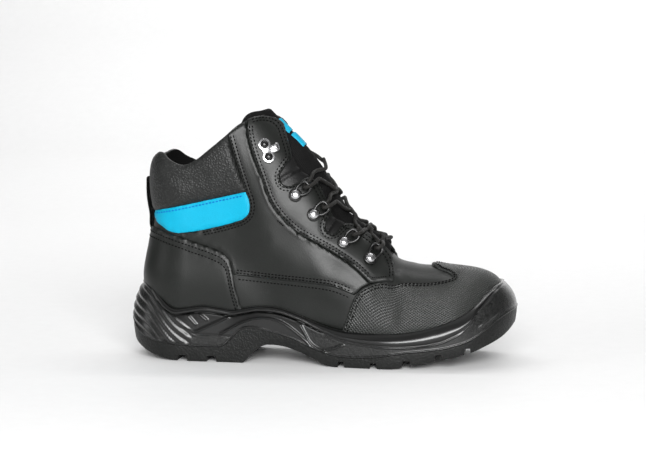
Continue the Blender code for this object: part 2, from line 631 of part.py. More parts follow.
def midsole_body(raised=0.0):
    """The midsole before it is hollowed. Raised lifts its rim, for the room it takes from panels."""
    wall_rows = 2 * HEEL_RIBS + 1
    rows = [ring_row(0.0, deck_height), ring_row(DECK_SHARE, deck_height)]
    rows += [midsole_row(level, wall_rows) for level in range(wall_rows + len(BEAD) - 1)]
    rim = rows[-1]
    if raised:
        rows.append(lambda side, station: rim(side, station) + np.array([0, 0, raised]))
    rows.append(lambda side, station: spine_point(station, MIDSOLE_CAP + raised + 0.0 * station))
    return wall_round(SOLE_STEPS, rows)


def tread_height(x):
    """Height of the tread's surface."""
    return column(TREAD_LINE, "z", x)


def outsole_row(share):
    """Row of the outsole's side wall, at a share of its height."""
    def row(side, station):
        low, high = sole_height(TREAD_LINE, station), sole_height(PARTING_LINE, station) - GAP
        z = low + (high - low) * share
        return sole_point(side, station, 1.0, z, lean_in(station, z) + TREAD_ROUND * (1 - share) ** 2)
    return row


def make_outsole(material):
    """The outsole, with grooves across its tread and channels along it."""
    rows = [ring_row(share, tread_height) for share in (0.0, *reversed(TREAD_RINGS))]
    rows += [outsole_row(share) for share in (0.0, 0.45, 1.0)]
    rows += [ring_row(share, deck_height, -GAP) for share in (DECK_SHARE, 0.0)]
    outsole = piece("outsole", wall_round(SOLE_STEPS, rows), material)
    for number, groove in enumerate(GROOVES):
        roof = float(tread_height((groove.start + groove.end) / 2)) + GROOVE_DEPTH
        outline = [
            (groove.start, -GROOVE_DEPTH), (groove.end, -GROOVE_DEPTH),
            (groove.end - GROOVE_SLANT, roof), (groove.start + GROOVE_SLANT, roof),
        ]
        cut(outsole, prism(f"groove_{number}", outline, -FAR, FAR), "DIFFERENCE")
    for number, channel in enumerate(CHANNELS):
        along = np.linspace(channel.start, channel.end, 5)
        roof = [(x, float(tread_height(x)) + GROOVE_DEPTH) for x in along]
        outline = [(channel.start, -GROOVE_DEPTH), *roof, (channel.end, -GROOVE_DEPTH)]
        low, high = channel.y - channel.width / 2, channel.y + channel.width / 2
        cut(outsole, prism(f"channel_{number}", outline, low, high), "DIFFERENCE")
    return outsole


def form_body():
    """The whole form as a closed body, a gap larger all over."""
    def floor(side, station):
        return spine_point(station, column(SECTIONS, "feather", turns(station)[2]))

    def roof(side, station):
        return spine_point(station, form_point(side, station, 1.0)[:, 2])
    return swell(wall_round(FORM_STEPS, [floor, *form_rows(), roof]), GAP)


def make_midsole(material):
    """The midsole, hollowed for the upper."""
    midsole = piece("midsole", midsole_body(), material)
    return cut(midsole, helper("foot_room", form_body()), "DIFFERENCE")


def make_insole(material):
    """The footbed, a slab inside the upper's wall."""
    def row(share, rise):
        def points(side, station):
            edge = form_point(side, station, 0.0)
            _, _, out_x, out_y = sole_plan(side, station)
            edge[:, 0] -= out_x * (WALL + INSOLE_CLEAR)
            edge[:, 1] -= out_y * (WALL + INSOLE_CLEAR)
            middle = spine_point(station, 0.0 * station)
            flat = middle + (edge - middle) * share
            flat[:, 2] = column(SECTIONS, "feather", flat[:, 0]) + rise
            return flat
        return points
    rows = [row(0.0, 0.0), row(1.0, 0.0), row(1.0, INSOLE_THICK), row(0.0, INSOLE_THICK)]
    return piece("insole", wall_round(FORM_STEPS, rows), material)


def make_upper(material):
    """The upper's wall, open at the collar, the throat and underneath."""
    upper = form_shell("upper", -WALL, WALL, material)
    outline = [*flow(COLLAR_EDGE), *flow(THROAT_EDGE)[1:]]
    outline += [VAMP_TOP, (FAR, VAMP_TOP.z), (FAR, UNDER), (-FAR, UNDER), (-FAR, COLLAR_EDGE[0].z)]
    cut(upper, prism("upper_outline", outline, -FAR, FAR))
    low, high = RIDGE_MIDDLE - THROAT_HALF, RIDGE_MIDDLE + THROAT_HALF
    back, front = THROAT_ENDS
    slot = [(back, low), (front, low), (front, high), (back, high)]
    return cut(upper, prism("throat_slot", slot, THROAT_LOW, FAR, upright=True), "DIFFERENCE")


def side_prism(name, outline):
    """A cutter right through the boot with a side-view outline."""
    return prism(name, outline, -FAR, FAR)


def make_cap(material, sole_room):
    """The toe cap, with a window over the vamp between its wings."""
    cap = form_shell("toe_cap", GAP, CAP_THICK, material)
    over = CAP_BACK[-1].x, CAP_OVER
    cut(cap, side_prism("cap_outline", [*flow(CAP_BACK), over, (FAR, CAP_OVER), *CAP_UNDER]))
    centre = column(SECTIONS, "centre", np.array([row.x for row in CAP_WINDOW]))
    outer = [(row.x, mid - row.half) for row, mid in zip(CAP_WINDOW, centre)]
    inner = [(row.x, mid + row.half) for row, mid in zip(CAP_WINDOW, centre)]
    window = [*flow(outer[:0:-1]), outer[0], *flow(inner[1:])]
    cut(cap, prism("vamp_window", window, WINDOW_LOW, FAR, upright=True), "DIFFERENCE")
    return cut(cap, sole_room, "DIFFERENCE")


def make_counter(material, sole_room):
    """The heel counter, round the back of the heel."""
    counter = form_shell("counter", GAP, COUNTER_THICK, material)
    edge = moved(flow(COUNTER_EDGE), -GAP / 2)
    foot = [(COUNTER_EDGE[-1].x, 0), (-FAR, 0), (-FAR, COUNTER_EDGE[0].z)]
    cut(counter, side_prism("counter_outline", [*edge, *foot]))
    return cut(counter, sole_room, "DIFFERENCE")


def cuff_padding(x, y, z):
    """Thickness of the cuff, swelling between its seam and the collar's edge."""
    low, high = column(BAND_SEAM, "z", x), column(COLLAR_EDGE, "z", x)
    share = np.clip((z - low) / (high - low), 0, 1)
    return CUFF_EDGE_THICK + CUFF_SWELL * 4 * share * (1 - share)


def make_cuff(material):
    """The padded cuff round the back of the ankle."""
    cuff = form_shell("cuff", GAP, cuff_padding, material)
    seam = moved(flow(BAND_SEAM)[:-1] + flow(CUFF_SEAM)[::-1], GAP / 2)
    collar = [point for point in flow(COLLAR_EDGE) if point[0] < seam[-1][0] - 1]
    return cut(cuff, side_prism("cuff_outline", [*seam, *reversed(collar)]))


def make_band(name, side, material):
    """The coloured band under the cuff on one side."""
    band = form_shell(f"band_{name}", GAP, BAND_THICK, material)
    seam = [point for point in flow(BAND_SEAM) if point[0] > BAND_BACK[-1].x]
    rim = [*seam[:-1], *flow(BAND_FRONT)[:-1], *flow(BAND_UNDER)[:-1], *flow(BAND_BACK)]
    return cut(band, prism(f"band_outline_{name}", moved(rim, -BAND_CLEAR), *one_side(side)))


def make_quarter(name, side, material, collar_room):
    """The middle side panel of one side."""
    quarter = form_shell(f"quarter_{name}", GAP, QUARTER_THICK, material)
    back = flow(CUFF_SEAM)[:-1] + flow(BAND_FRONT)[:-1] + flow(BAND_UNDER)
    first, last = BAND_UNDER[-1].x - 1, QUARTER_UNDER[0].x - 1.2
    under = [point for point in flow(COUNTER_EDGE) if first < point[0] < last]
    under += flow(QUARTER_UNDER)
    under += [point for point in flow(CAP_BACK) if point[1] > QUARTER_UNDER[-1].z + 1.1]
    front = reversed(moved(flow(EYESTAY_UNDER), -GAP / 2))
    edge = [*moved(back, GAP / 2), *moved(under, GAP / 2), *front]
    cut(quarter, prism(f"quarter_outline_{name}", edge, *one_side(side)))
    return cut(quarter, collar_room)


def make_eyestay(name, side, material):
    """The lace facing of one side, notched beside the throat."""
    stay = form_shell(f"eyestay_{name}", GAP, EYESTAY_THICK, material)
    edge = flow(EYESTAY_TOP, NOTCH_STEP)[:-1] + flow(FIRST_NOTCH, NOTCH_STEP)[:-1] + flow(MIDDLE_EDGE)[:-1]
    edge += flow(SECOND_NOTCH, NOTCH_STEP)[:-1] + flow(LOWER_EDGE)
    edge += reversed(moved(flow(EYESTAY_UNDER)[1:], GAP / 2))
    return cut(stay, prism(f"eyestay_outline_{name}", edge, *one_side(side)))


def make_panels(materials):
    """The overlays, each cut from a skin over the form by its own edges."""
    sole_room = helper("sole_room", midsole_body(raised=2 * GAP))
    collar = [*flow(COLLAR_EDGE), (FAR, COLLAR_EDGE[-1].z), (FAR, UNDER), (-FAR, UNDER)]
    collar_room = side_prism("collar_room", [*collar, (-FAR, COLLAR_EDGE[0].z)])
    make_cap(materials["cap"], sole_room)
    make_counter(materials["leather"], sole_room)
    make_cuff(materials["collar"])
    for name, side in SIDES.items():
        make_band(name, side, materials["band"])
        make_quarter(name, side, materials["leather"], collar_room)
        make_eyestay(name, side, materials["leather"])


def tongue_swell(x, y, z):
    """How far the padded tongue rises between the eyestays."""
    off_middle = (y - column(SECTIONS, "centre", x)) / column(TONGUE, "half", x)
    return column(TONGUE, "rise", x) * np.clip(1 - off_middle**2, 0, 1)


def tongue_skin():
    """The form's surface along its ridge, as wide as the tongue."""
    def place(at, level):
        row, column_count = TONGUE[level], len(SWELL_SHARES) + len(EDGE_SHARES)
        offs = [row.half * share for share in SWELL_SHARES]
        offs += [row.half + (row.edge - row.half) * share for share in EDGE_SHARES]
        middle = column_count - 1
        return saddle_point(row.x, math.copysign(offs[abs(at - middle)], at - middle))
    mesh = mapped_grid(2 * (len(SWELL_SHARES) + len(EDGE_SHARES)) - 1, len(TONGUE), place)
    if sum(face.normal.z for face in mesh.faces) < 0:
        bmesh.ops.reverse_faces(mesh, faces=mesh.faces)
    return mesh


def make_tongue(material):
    """The tongue lies under the eyestays and swells up between them."""
    low = -(WALL + TONGUE_CLEAR + TONGUE_THICK)

    def thickness(x, y, z):
        return TONGUE_THICK + tongue_swell(x, y, z)
    tongue = shell("tongue", tongue_skin(), low, thickness, material)
    outline = [*flow(TONGUE_TOP), (FAR, TONGUE_TOP[-1].z), (FAR, 0), (TONGUE_TOP[0].x, 0)]
    return cut(tongue, side_prism("tongue_outline", outline))


def make_label(material):
    """A label on the ridge of the tongue, in front of the shin."""
    def low(x, y, z):
        return tongue_swell(x, y, z) - WALL - TONGUE_CLEAR + GAP
    label = shell("tongue_label", tongue_skin(), low, LABEL_THICK, material)
    top, bottom = (np.array(end) for end in LABEL_ENDS)
    along = (bottom - top) / np.linalg.norm(bottom - top)
    inward = np.array([along[1], -along[0]]) * LABEL_HALF
    corners = [tuple(corner) for corner in (top + inward, bottom + inward, bottom - inward, top - inward)]
    low_y, high_y = RIDGE_MIDDLE - LABEL_HALF, RIDGE_MIDDLE + LABEL_HALF
    return cut(label, prism("label_outline", corners, low_y, high_y))


def make_pull_loop(material):
    """A webbing strip up the back of the heel, its top standing off the cuff."""
    columns, rows = 4, 6

    def place(at, level):
        share = level / (rows - 1)
        y, z = (2 * at / (columns - 1) - 1) * LOOP_HALF, LOOP_LOW + (LOOP_HIGH - LOOP_LOW) * share
        back = HEEL_AXIS - float(column(BACK_LINE, "x", z, key="z"))
        aside = float(half_width(HEEL_AXIS, z))
        reach = back * (1 - abs(y / aside) ** HEEL_ROUND) ** (1 / HEEL_ROUND)
        stand = smooth(*LOOP_STANDS, share)
        return HEEL_AXIS - reach - stand, y, z
    loop = piece("pull_loop", mapped_grid(columns, rows, place), material)
    grow = loop.modifiers.new("thickness", "SOLIDIFY")
    grow.thickness = LOOP_THICK * MM
    grow.offset = 1.0 if loop.data.polygons[0].normal.x < 0 else -1.0
    return loop


def seat_frame(x, z, side, out):
    """Frame on the upper's side, out from the form: X towards the ridge, Z out of the leather."""
    def skin(u, v):
        return float(column(SECTIONS, "centre", u) + side * half_width(u, v))
    step = 0.5
    lean_x = (skin(x + step, z) - skin(x - step, z)) / (2 * step)
    lean_z = (skin(x, z + step) - skin(x, z - step)) / (2 * step)
    normal = (side * Vector((-lean_x, 1.0, -lean_z))).normalized()
    slope = float(column(SECTIONS, "ridge", x + step) - column(SECTIONS, "ridge", x - step)) / (2 * step)
    to_ridge = Vector((-slope, 0.0, 1.0))
    to_ridge = (to_ridge - normal * to_ridge.dot(normal)).normalized()
    along = normal.cross(to_ridge)
    turn = Matrix((to_ridge, along, normal)).transposed().to_4x4()
    place = Vector((x, skin(x, z), z)) + normal * out
    return Matrix.Translation(place * MM) @ turn


def tube(name, points, radius, resolution, closed=False):
    """A round wire or cord through points."""
    data = bpy.data.curves.new(name, "CURVE")
    data.dimensions = "3D"
    data.bevel_depth = radius * MM
    data.bevel_resolution = resolution
    data.use_fill_caps = True
    spline = data.splines.new("POLY")
    spline.points.add(len(points) - 1)
    for point, place in zip(spline.points, points):
        point.co = (*(Vector(place) * MM), 1.0)
    spline.use_cyclic_u = closed
    guide = bpy.data.objects.new(name, data)
    bpy.context.scene.collection.objects.link(guide)
    return evaluated(guide)


def union(name, meshes):
    """One body out of meshes that reach into each other."""
    whole = piece(name, meshes[0])
    for number, mesh in enumerate(meshes[1:]):
        cut(whole, helper(f"{name}_join_{number}", mesh), "UNION")
    return evaluated(whole)


def turned(profile, x=0.0, y=0.0):
    """A mesh turned about an upright axis, from a profile of radius and height."""
    def place(at, level):
        angle, (radius, height) = 2 * math.pi * at / RIVET_SIDES, profile[level]
        return x + radius * math.cos(angle), y + radius * math.sin(angle), height
    made = bpy.data.meshes.new("turned")
    mesh = mapped_grid(RIVET_SIDES + 1, len(profile), place)
    mesh.to_mesh(made)
    mesh.free()
    return made


def ring_mesh():
    """A lace ring: a domed rivet on its washer, and a wire loop reaching up towards the ridge."""
    foot, knee = 3.0, 7.5
    loop = [
        (foot, -RING_HALF * 0.55, RING_WIRE * 0.9), (knee, -RING_HALF, 0.55 * RING_RISE),
        (RING_REACH, -RING_HALF * 0.5, RING_RISE), (RING_REACH, RING_HALF * 0.5, RING_RISE),
        (knee, RING_HALF, 0.55 * RING_RISE), (foot, RING_HALF * 0.55, RING_WIRE * 0.9),
    ]
    return union("ring", [turned(RING_RIVET), tube("ring_loop", loop, RING_WIRE, 0, closed=True)])


def hook_mesh():
    """A lace hook: two rivets on a waisted plate, and a tab bent up and back from its edge."""
    def end(y, first):
        turn = np.radians(first + np.linspace(0, 240, 6))
        return [(HOOK_PLATE * math.cos(a), y + HOOK_PLATE * math.sin(a)) for a in turn]
    outline = [*end(HOOK_SPREAD / 2, -30), (-HOOK_WAIST, 0), *end(-HOOK_SPREAD / 2, 150), (HOOK_WAIST, 0)]
    plate = extruded("hook_plate", outline, 0.0, HOOK_THICK, upright=True)
    rivets = [turned(HOOK_RIVET, 0.0, y) for y in (-HOOK_SPREAD / 2, HOOK_SPREAD / 2)]
    tab = extruded("hook_tab", HOOK_TAB, -HOOK_TAB_HALF, HOOK_TAB_HALF)
    return union("hook", [plate, *rivets, tab])


def make_hardware(material):
    """The rings and hooks on both eyestays, and their frames."""
    ring, hook = ring_mesh(), hook_mesh()
    out = EYESTAY_THICK + GAP + RIVET_CLEAR
    frames = {}
    for name, side in SIDES.items():
        for number, seat in enumerate(RING_SEATS, 1):
            frames[side, number] = seat_frame(seat.x, seat.z, side, out - seat.sunk)
            piece(f"d_ring_{name}_{number}", ring, material).matrix_world = frames[side, number]
        turn = Matrix.Rotation(-side * HOOK_TURN, 4, "Z")
        frames[side, 0] = seat_frame(HOOK_SEAT.x, HOOK_SEAT.z, side, out) @ turn
        piece(f"hook_{name}", hook, material).matrix_world = frames[side, 0]
    return frames


def lace_strand(first, last, peak):
    """Points of a lace from one ring over the tongue's ridge to another."""
    middle = -WALL - TONGUE_CLEAR + float(column(TONGUE, "rise", peak.x)) + peak.stand
    lift = middle + LACE_RADIUS + LACE_CLEAR
    top = saddle_out(peak.x, 0.0, lift)

    def flank(end):
        x, off = (top.x + end.x) / 2, (end.y - float(column(SECTIONS, "centre", end.x))) / 2
        bow = saddle_out(x, off, LACE_BOW) - saddle_point(x, off)
        return [end.lerp(top, share) + bow * 4 * share * (1 - share) for share in (0.25, 0.5, 0.75)]
    return [first, *flank(first), top, *reversed(flank(last)), last]


def make_laces(material, frames):
    """The crossings over the tongue, each one body from ring to ring."""
    def tip(side, number, up):
        apart = LACE_RADIUS + LACE_CLEAR if number else 0.0
        reach = Vector((RING_REACH + RING_WIRE + LACE_RADIUS + LACE_CLEAR, -side * up * apart, RING_RISE))
        return (frames[side, number] @ (reach * MM)) / MM

    bar = lace_strand(tip(OUTER, 4, -1), tip(INNER, 4, -1), BAR_PEAK)
    piece("lace_bar", tube("lace_bar", bar, LACE_RADIUS, 1), material)
    for number, peak in enumerate(CROSS_PEAKS, 1):
        over = Peak(peak.x + LACE_LAP, peak.stand + LACE_LAP)
        under_strand = lace_strand(tip(OUTER, number, -1), tip(INNER, number + 1, 1), peak)
        over_strand = lace_strand(tip(INNER, number, -1), tip(OUTER, number + 1, 1), over)
        strands = [tube("strand", points, LACE_RADIUS, 1) for points in (under_strand, over_strand)]
        piece(f"lace_cross_{number}", union(f"cross_{number}", strands), material)
    top = lace_strand(tip(OUTER, 1, 1), tip(INNER, 0, 1), TOP_PEAK)
    piece("lace_top", tube("lace_top", top, LACE_RADIUS, 1), material)


def main():
    """Builds every piece of the boot in an empty scene."""
    for old in list(bpy.data.objects):
        bpy.data.objects.remove(old)
    materials = {
        "rubber": finish("rubber", 0.6, (0.020, 0.020, 0.021)),
        "midsole": finish("midsole", 0.5, (0.028, 0.028, 0.029)),
        "leather": finish("leather", 0.5, (0.045, 0.045, 0.043)),
        "cap": finish("cap", 0.5, (0.050, 0.050, 0.048)),
        "collar": finish("collar", 0.7, (0.040, 0.040, 0.038)),
        "band": finish("band", 0.6, (0.0, 0.45, 0.85)),
        "fabric": finish("fabric", 0.9, (0.012, 0.012, 0.012)),
        "metal": finish("metal", 0.3, (0.30, 0.30, 0.31), 1.0),
    }
    make_outsole(materials["rubber"])
    make_midsole(materials["midsole"])
    make_insole(materials["fabric"])
    make_upper(materials["leather"])
    make_panels(materials)
    make_tongue(materials["fabric"])
    make_label(materials["band"])
    make_pull_loop(materials["fabric"])
    frames = make_hardware(materials["metal"])
    make_laces(materials["fabric"], frames)


if __name__ == "__main__":
    main()
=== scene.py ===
"""Looks of the safety hiker boot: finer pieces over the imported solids, with finishes, light and camera.

Sizes are in millimetres and MM turns them into metres. +X points to the toe, +Z is up and -Y is the
outer side of the right foot.
"""

from __future__ import annotations

import logging
import math
from dataclasses import dataclass, field
from enum import Enum
from typing import Callable, NamedTuple, Sequence

import bmesh
import bpy
import numpy as np
from mathutils import Matrix, Vector
from mathutils.kdtree import KDTree

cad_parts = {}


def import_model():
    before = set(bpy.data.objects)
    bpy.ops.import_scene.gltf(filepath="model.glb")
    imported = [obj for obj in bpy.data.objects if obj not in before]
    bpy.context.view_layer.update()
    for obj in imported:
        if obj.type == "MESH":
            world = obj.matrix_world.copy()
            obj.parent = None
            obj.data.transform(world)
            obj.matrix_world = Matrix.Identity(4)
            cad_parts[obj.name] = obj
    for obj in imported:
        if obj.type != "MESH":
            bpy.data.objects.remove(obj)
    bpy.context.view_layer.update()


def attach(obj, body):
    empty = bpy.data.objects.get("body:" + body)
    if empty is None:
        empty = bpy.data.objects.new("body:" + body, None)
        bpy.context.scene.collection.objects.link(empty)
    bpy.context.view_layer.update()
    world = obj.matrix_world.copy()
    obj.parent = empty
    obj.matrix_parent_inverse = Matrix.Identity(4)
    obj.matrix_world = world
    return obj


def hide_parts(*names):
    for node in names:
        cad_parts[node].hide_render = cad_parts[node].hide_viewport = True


LOG = logging.getLogger("boot")
MM = 0.001
# Play between layers, thickness of the upper's wall, a distance past the boot's width, and next to nothing
GAP = 0.3
WALL = 2.2
FAR = 260.0
TINY = 1e-6
Array = np.ndarray
Mesh = bmesh.types.BMesh
Node = bpy.types.Node


class Side(Enum):
    """The two sides of the foot, as signs of Y."""

    OUTER = -1
    INNER = 1

    @property
    def word(self) -> str:
        """Name of the side in the names of pieces."""
        return "lateral" if self is Side.OUTER else "medial"


class Centre(Enum):
    """Where an unrolled sheet has its middle line."""

    HEEL = "heel"
    TOE = "toe"


class Pattern(Enum):
    """Surface pattern of a finish."""

    SMOOTH = "smooth"
    GRAIN = "grain"
    RIBS = "ribs"
    WEAVE = "weave"
    STIPPLE = "stipple"
    BRAID = "braid"
    POLISH = "polish"


class Section(NamedTuple):
    """One section across the last.

    Attributes:
        x, centre: Place along the foot, and Y of its middle.
        feather, ridge: Heights of the edge under the upper and of the ridge.
        depth, fullness: How far under the ridge it is full, and the exponent of its rounding up to there.
        foot, belly, ankle, collar: Half widths at the levels over the feather edge.
    """

    x: float
    centre: float
    feather: float
    ridge: float
    depth: float
    fullness: float
    foot: float
    belly: float
    ankle: float
    collar: float


class Point(NamedTuple):
    """A point of a line in side view."""

    x: float
    z: float


def drawn(*pairs: Sequence[float]) -> tuple[Point, ...]:
    """A line drawn in side view through pairs of x and z."""
    return tuple(Point(*pair) for pair in pairs)


class Plan(NamedTuple):
    """Middle line and half width of the sole at a place along it."""

    x: float
    centre: float
    half: float


class Lean(NamedTuple):
    """How the sole's side leans in towards its rim."""

    start: float
    power: float
    inset: float


class Padding(NamedTuple):
    """Half widths and swelling of the tongue at a place along it."""

    x: float
    half: float
    edge: float
    rise: float


class Crease(NamedTuple):
    """A soft crease of the leather in side view, swollen on both sides, or a ridge at a negative depth."""

    line: tuple
    depth: float
    width: float


SECTIONS = (
    Section(-140, 0.0, 25.0, 334.0, 60, 2.00, 29.0, 33.5, 32.0, 35.0),
    Section(-105, 0.0, 24.5, 286.0, 60, 2.00, 29.0, 33.5, 32.0, 35.0),
    Section(-70, -0.8, 24.0, 238.5, 55, 2.00, 28.5, 34.0, 33.5, 36.0),
    Section(-36, -2.2, 22.5, 193.5, 48, 2.00, 29.5, 35.0, 35.5, 37.0),
    Section(-18, -2.8, 21.0, 172.0, 46, 2.00, 31.0, 36.6, 36.8, 37.5),
    Section(0, -3.0, 19.5, 149.5, 44, 2.05, 33.0, 38.5, 38.0, 38.0),
    Section(25, -2.4, 17.5, 113.5, 46, 2.15, 38.0, 42.5, 41.0, 40.0),
    Section(40, -1.7, 16.6, 102.5, 52, 2.18, 40.6, 44.8, 43.0, 41.2),
    Section(52, -1.1, 16.0, 93.0, 56, 2.20, 42.2, 46.2, 44.2, 42.2),
    Section(60, -0.7, 16.1, 82.2, 58, 2.25, 42.8, 46.8, 44.6, 42.6),
    Section(75, 0.0, 16.5, 77.5, 61, 2.30, 43.0, 47.0, 45.0, 43.0),
    Section(95, 1.2, 18.5, 75.0, 57, 2.40, 41.0, 45.0, 44.0, 43.0),
    Section(125, 4.0, 25.0, 72.0, 50, 2.50, 36.0, 40.0, 39.0, 38.0),
    Section(154, 7.0, 33.0, 68.0, 45, 2.50, 30.0, 34.0, 33.0, 32.0),
)
WIDTH_LEVELS = (("foot", 0.0), ("belly", 18.0), ("ankle", 82.0), ("collar", 148.0))
BACK_LINE = drawn(
    (-137.0, 20), (-143.0, 45), (-144.0, 62), (-143.0, 78), (-141.0, 92),
    (-138.4, 106), (-136.5, 120), (-136.8, 140), (-136.4, 154), (-133.4, 166),
    (-126.0, 206),
)
SOLE_PLAN = (
    Plan(-105, 0.0, 39.5), Plan(-70, -0.8, 39.5), Plan(-35, -2.6, 40.0), Plan(0, -3.4, 43.2),
    Plan(35, -2.2, 48.8), Plan(65, -0.5, 52.4), Plan(95, 1.2, 50.8), Plan(125, 4.0, 44.0),
    Plan(154, 7.0, 40.0),
)
TREAD_LINE = drawn(
    (-157, 20.0), (-154.5, 16.6), (-150.2, 12.5), (-143.4, 8.4), (-135, 4.8),
    (-126, 2.2), (-112, 0.5), (-104, 0.0), (-80, 0.0), (-59, 0.0),
    (-51, 7.0), (-44, 13.0), (-36, 15.2), (-26, 14.6), (-12, 10.6),
    (0, 5.6), (9, 1.2), (17, 0.0), (36, 0.0), (56, 0.0), (69, 1.6),
    (93, 6.4), (112, 10.2), (123, 13.0), (133.6, 17.4), (141, 20.8),
    (147, 24.2), (151, 27.4), (155, 31.5),
)
PARTING_LINE = drawn(
    (-157, 33.0), (-151, 26.5), (-144.6, 20.8), (-135, 16.6), (-120, 14.0),
    (-106, 12.8), (-92, 12.2), (-79, 12.2), (-73.5, 13.4), (-66, 20.2),
    (-58.5, 26.8), (-48, 28.4), (-37, 26.0), (-16, 20.2), (-3, 14.7),
    (9, 10.6), (27, 8.0), (45, 8.6), (72, 12.8), (91, 14.8), (101, 16.2),
    (111, 18.8), (119, 21.4), (126, 25.2), (134, 31.0), (142, 37.2),
    (149, 41.2), (155, 43.5),
)
RIM_LINE = drawn(
    (-154.5, 63.0), (-147, 61.5), (-138, 57.0), (-129, 49.5), (-120, 43.2),
    (-113, 41.0), (-104, 42.2), (-90, 44.0), (-76, 42.4), (-67, 41.2),
    (-58, 42.8), (-44, 45.0), (-30, 44.0), (-14, 39.4), (5, 32.0),
    (24, 27.6), (47, 26.6), (68, 27.4), (88, 31.0), (104, 35.6),
    (119, 41.5), (131, 49.0), (142, 57.5), (150, 62.5), (154, 63.5),
)
LEANS = {"side": Lean(0.6, 2.0, 1.6), "heel": Lean(0.3, 2.0, 11.0), "toe": Lean(0.3, 2.4, 11.5)}

COLLAR_EDGE = drawn(
    (-150, 158.0), (-135, 161.5), (-127, 165.5), (-119, 160.0), (-107, 155.4),
    (-98, 158.6), (-85, 168.0), (-73, 177.8), (-60, 188.8), (-44, 193.4),
    (-36, 190.8), (-28, 179.5),
)
THROAT_EDGE = drawn(
    (-28, 179.5), (-23.5, 166.5), (-16, 152.0), (-7, 143.0), (2, 133.0),
    (10, 120.0), (18, 110.6), (25, 107.8), (32, 104.0), (40, 98.6),
    (48, 92.4), (54, 87.0), (57.8, 83.0),
)
CUFF_SEAM = drawn((-70.2, 180.2), (-68.8, 175.5), (-61, 151.0), (-55.6, 135.0))
BAND_SEAM = drawn(
    (-150, 113.5), (-135, 117.5), (-109, 123.0), (-84, 128.6), (-55.6, 135.0),
)
BAND_FRONT = drawn((-55.6, 135.0), (-52.2, 125.0), (-53.2, 118.0), (-58.5, 113.2))
BAND_UNDER = drawn(
    (-58.5, 113.2), (-67.5, 110.2), (-82.7, 106.2), (-98, 103.0), (-111, 101.4),
)
BAND_BACK = drawn(
    (-111, 101.4), (-118, 102.4), (-126, 106.4), (-132.6, 111.0), (-133.6, 117.9),
)
COUNTER_EDGE = drawn(
    (-150, 106.0), (-134, 104.6), (-113, 99.0), (-98, 94.2), (-83, 89.4),
    (-73.6, 85.0), (-68.8, 79.0), (-66.8, 72.0), (-64, 59.0), (-59, 40.0),
)
QUARTER_UNDER = drawn(
    (-66, 69.4), (-37, 66.7), (-7, 64.8), (14.6, 62.2), (31.2, 56.4),
)
EYESTAY_UNDER = drawn(
    (-56.5, 190.0), (-54.6, 178.5), (-51.3, 167.0), (-43.5, 147.0),
    (-36, 128.4), (-24, 112.7), (-13.8, 104.2), (1, 95.7), (18, 85.6),
    (35, 73.8), (44.2, 64.9),
)
EYESTAY_TOP = drawn(
    (-55.6, 191.6), (-50, 193.6), (-44, 194.0), (-36.4, 191.6), (-31, 186.4),
    (-26.5, 177.0), (-22.2, 166.5),
)
FIRST_NOTCH = drawn(
    (-22.2, 166.5), (-21.4, 161.0), (-25, 155.0), (-28.4, 147.5), (-26.5, 141.6),
    (-21, 140.0), (-13.5, 144.0), (-8, 146.4),
)
MIDDLE_EDGE = drawn((-8, 146.4), (-3, 143.6), (1.5, 137.2), (6, 129.0), (10.6, 121.0))
SECOND_NOTCH = drawn(
    (10.6, 121.0), (9.4, 115.5), (7.2, 110.0), (9, 104.4), (13.4, 103.0),
    (17, 106.0), (20.4, 110.2),
)
LOWER_EDGE = drawn(
    (20.4, 110.2), (25, 109.4), (32, 105.6), (40, 100.2), (48, 94.0),
    (54, 88.6), (57.6, 83.0), (59.8, 75.0), (60.0, 65.0),
)
CAP_BACK = drawn(
    (16, 10.0), (21, 26.0), (25.2, 37.0), (28.6, 46.7), (32.4, 56.0),
    (38, 62.0), (44, 64.6),
)
CAP_TOP = drawn(
    (44.0, 64.6), (52.3, 65.5), (68.0, 64.2), (85.0, 64.1), (95.0, 65.0),
    (101.7, 66.1),
)
# Front of the vamp's window, as places along the foot and distances off the middle
CAP_PEAK = ((106.2, 23.6), (103.4, 19.0), (95.0, 12.6), (89.0, 5.2), (87.5, 0.0))
TONGUE = (
    Padding(-72, 20.0, 31.0, 1.7), Padding(-62, 18.0, 31.0, 1.7), Padding(-52, 15.0, 31.0, 1.7),
    Padding(-44, 12.5, 30.5, 2.4), Padding(-36, 8.4, 30.0, 3.8), Padding(-28, 10.5, 29.5, 4.9),
    Padding(-20, 16.0, 29.0, 6.3), Padding(-12, 18.0, 29.0, 6.9), Padding(-4, 18.0, 29.0, 6.6),
    Padding(8, 18.0, 29.0, 5.6), Padding(20, 14.5, 28.0, 5.1), Padding(32, 12.0, 27.0, 4.8),
    Padding(43, 10.8, 26.0, 5.5), Padding(51, 10.6, 26.0, 5.8), Padding(55.4, 10.0, 26.0, 3.4),
    Padding(57.4, 9.6, 26.0, 0.0), Padding(67, 10.0, 26.0, 0.0),
)
STAY_FOOT = drawn((60.0, 65.0), (52.3, 65.6), (44.2, 64.9))
TACKS = (drawn((44.0, 69.6), (54.5, 69.0)), drawn((-29.5, 113.5), (-24.0, 108.6)))
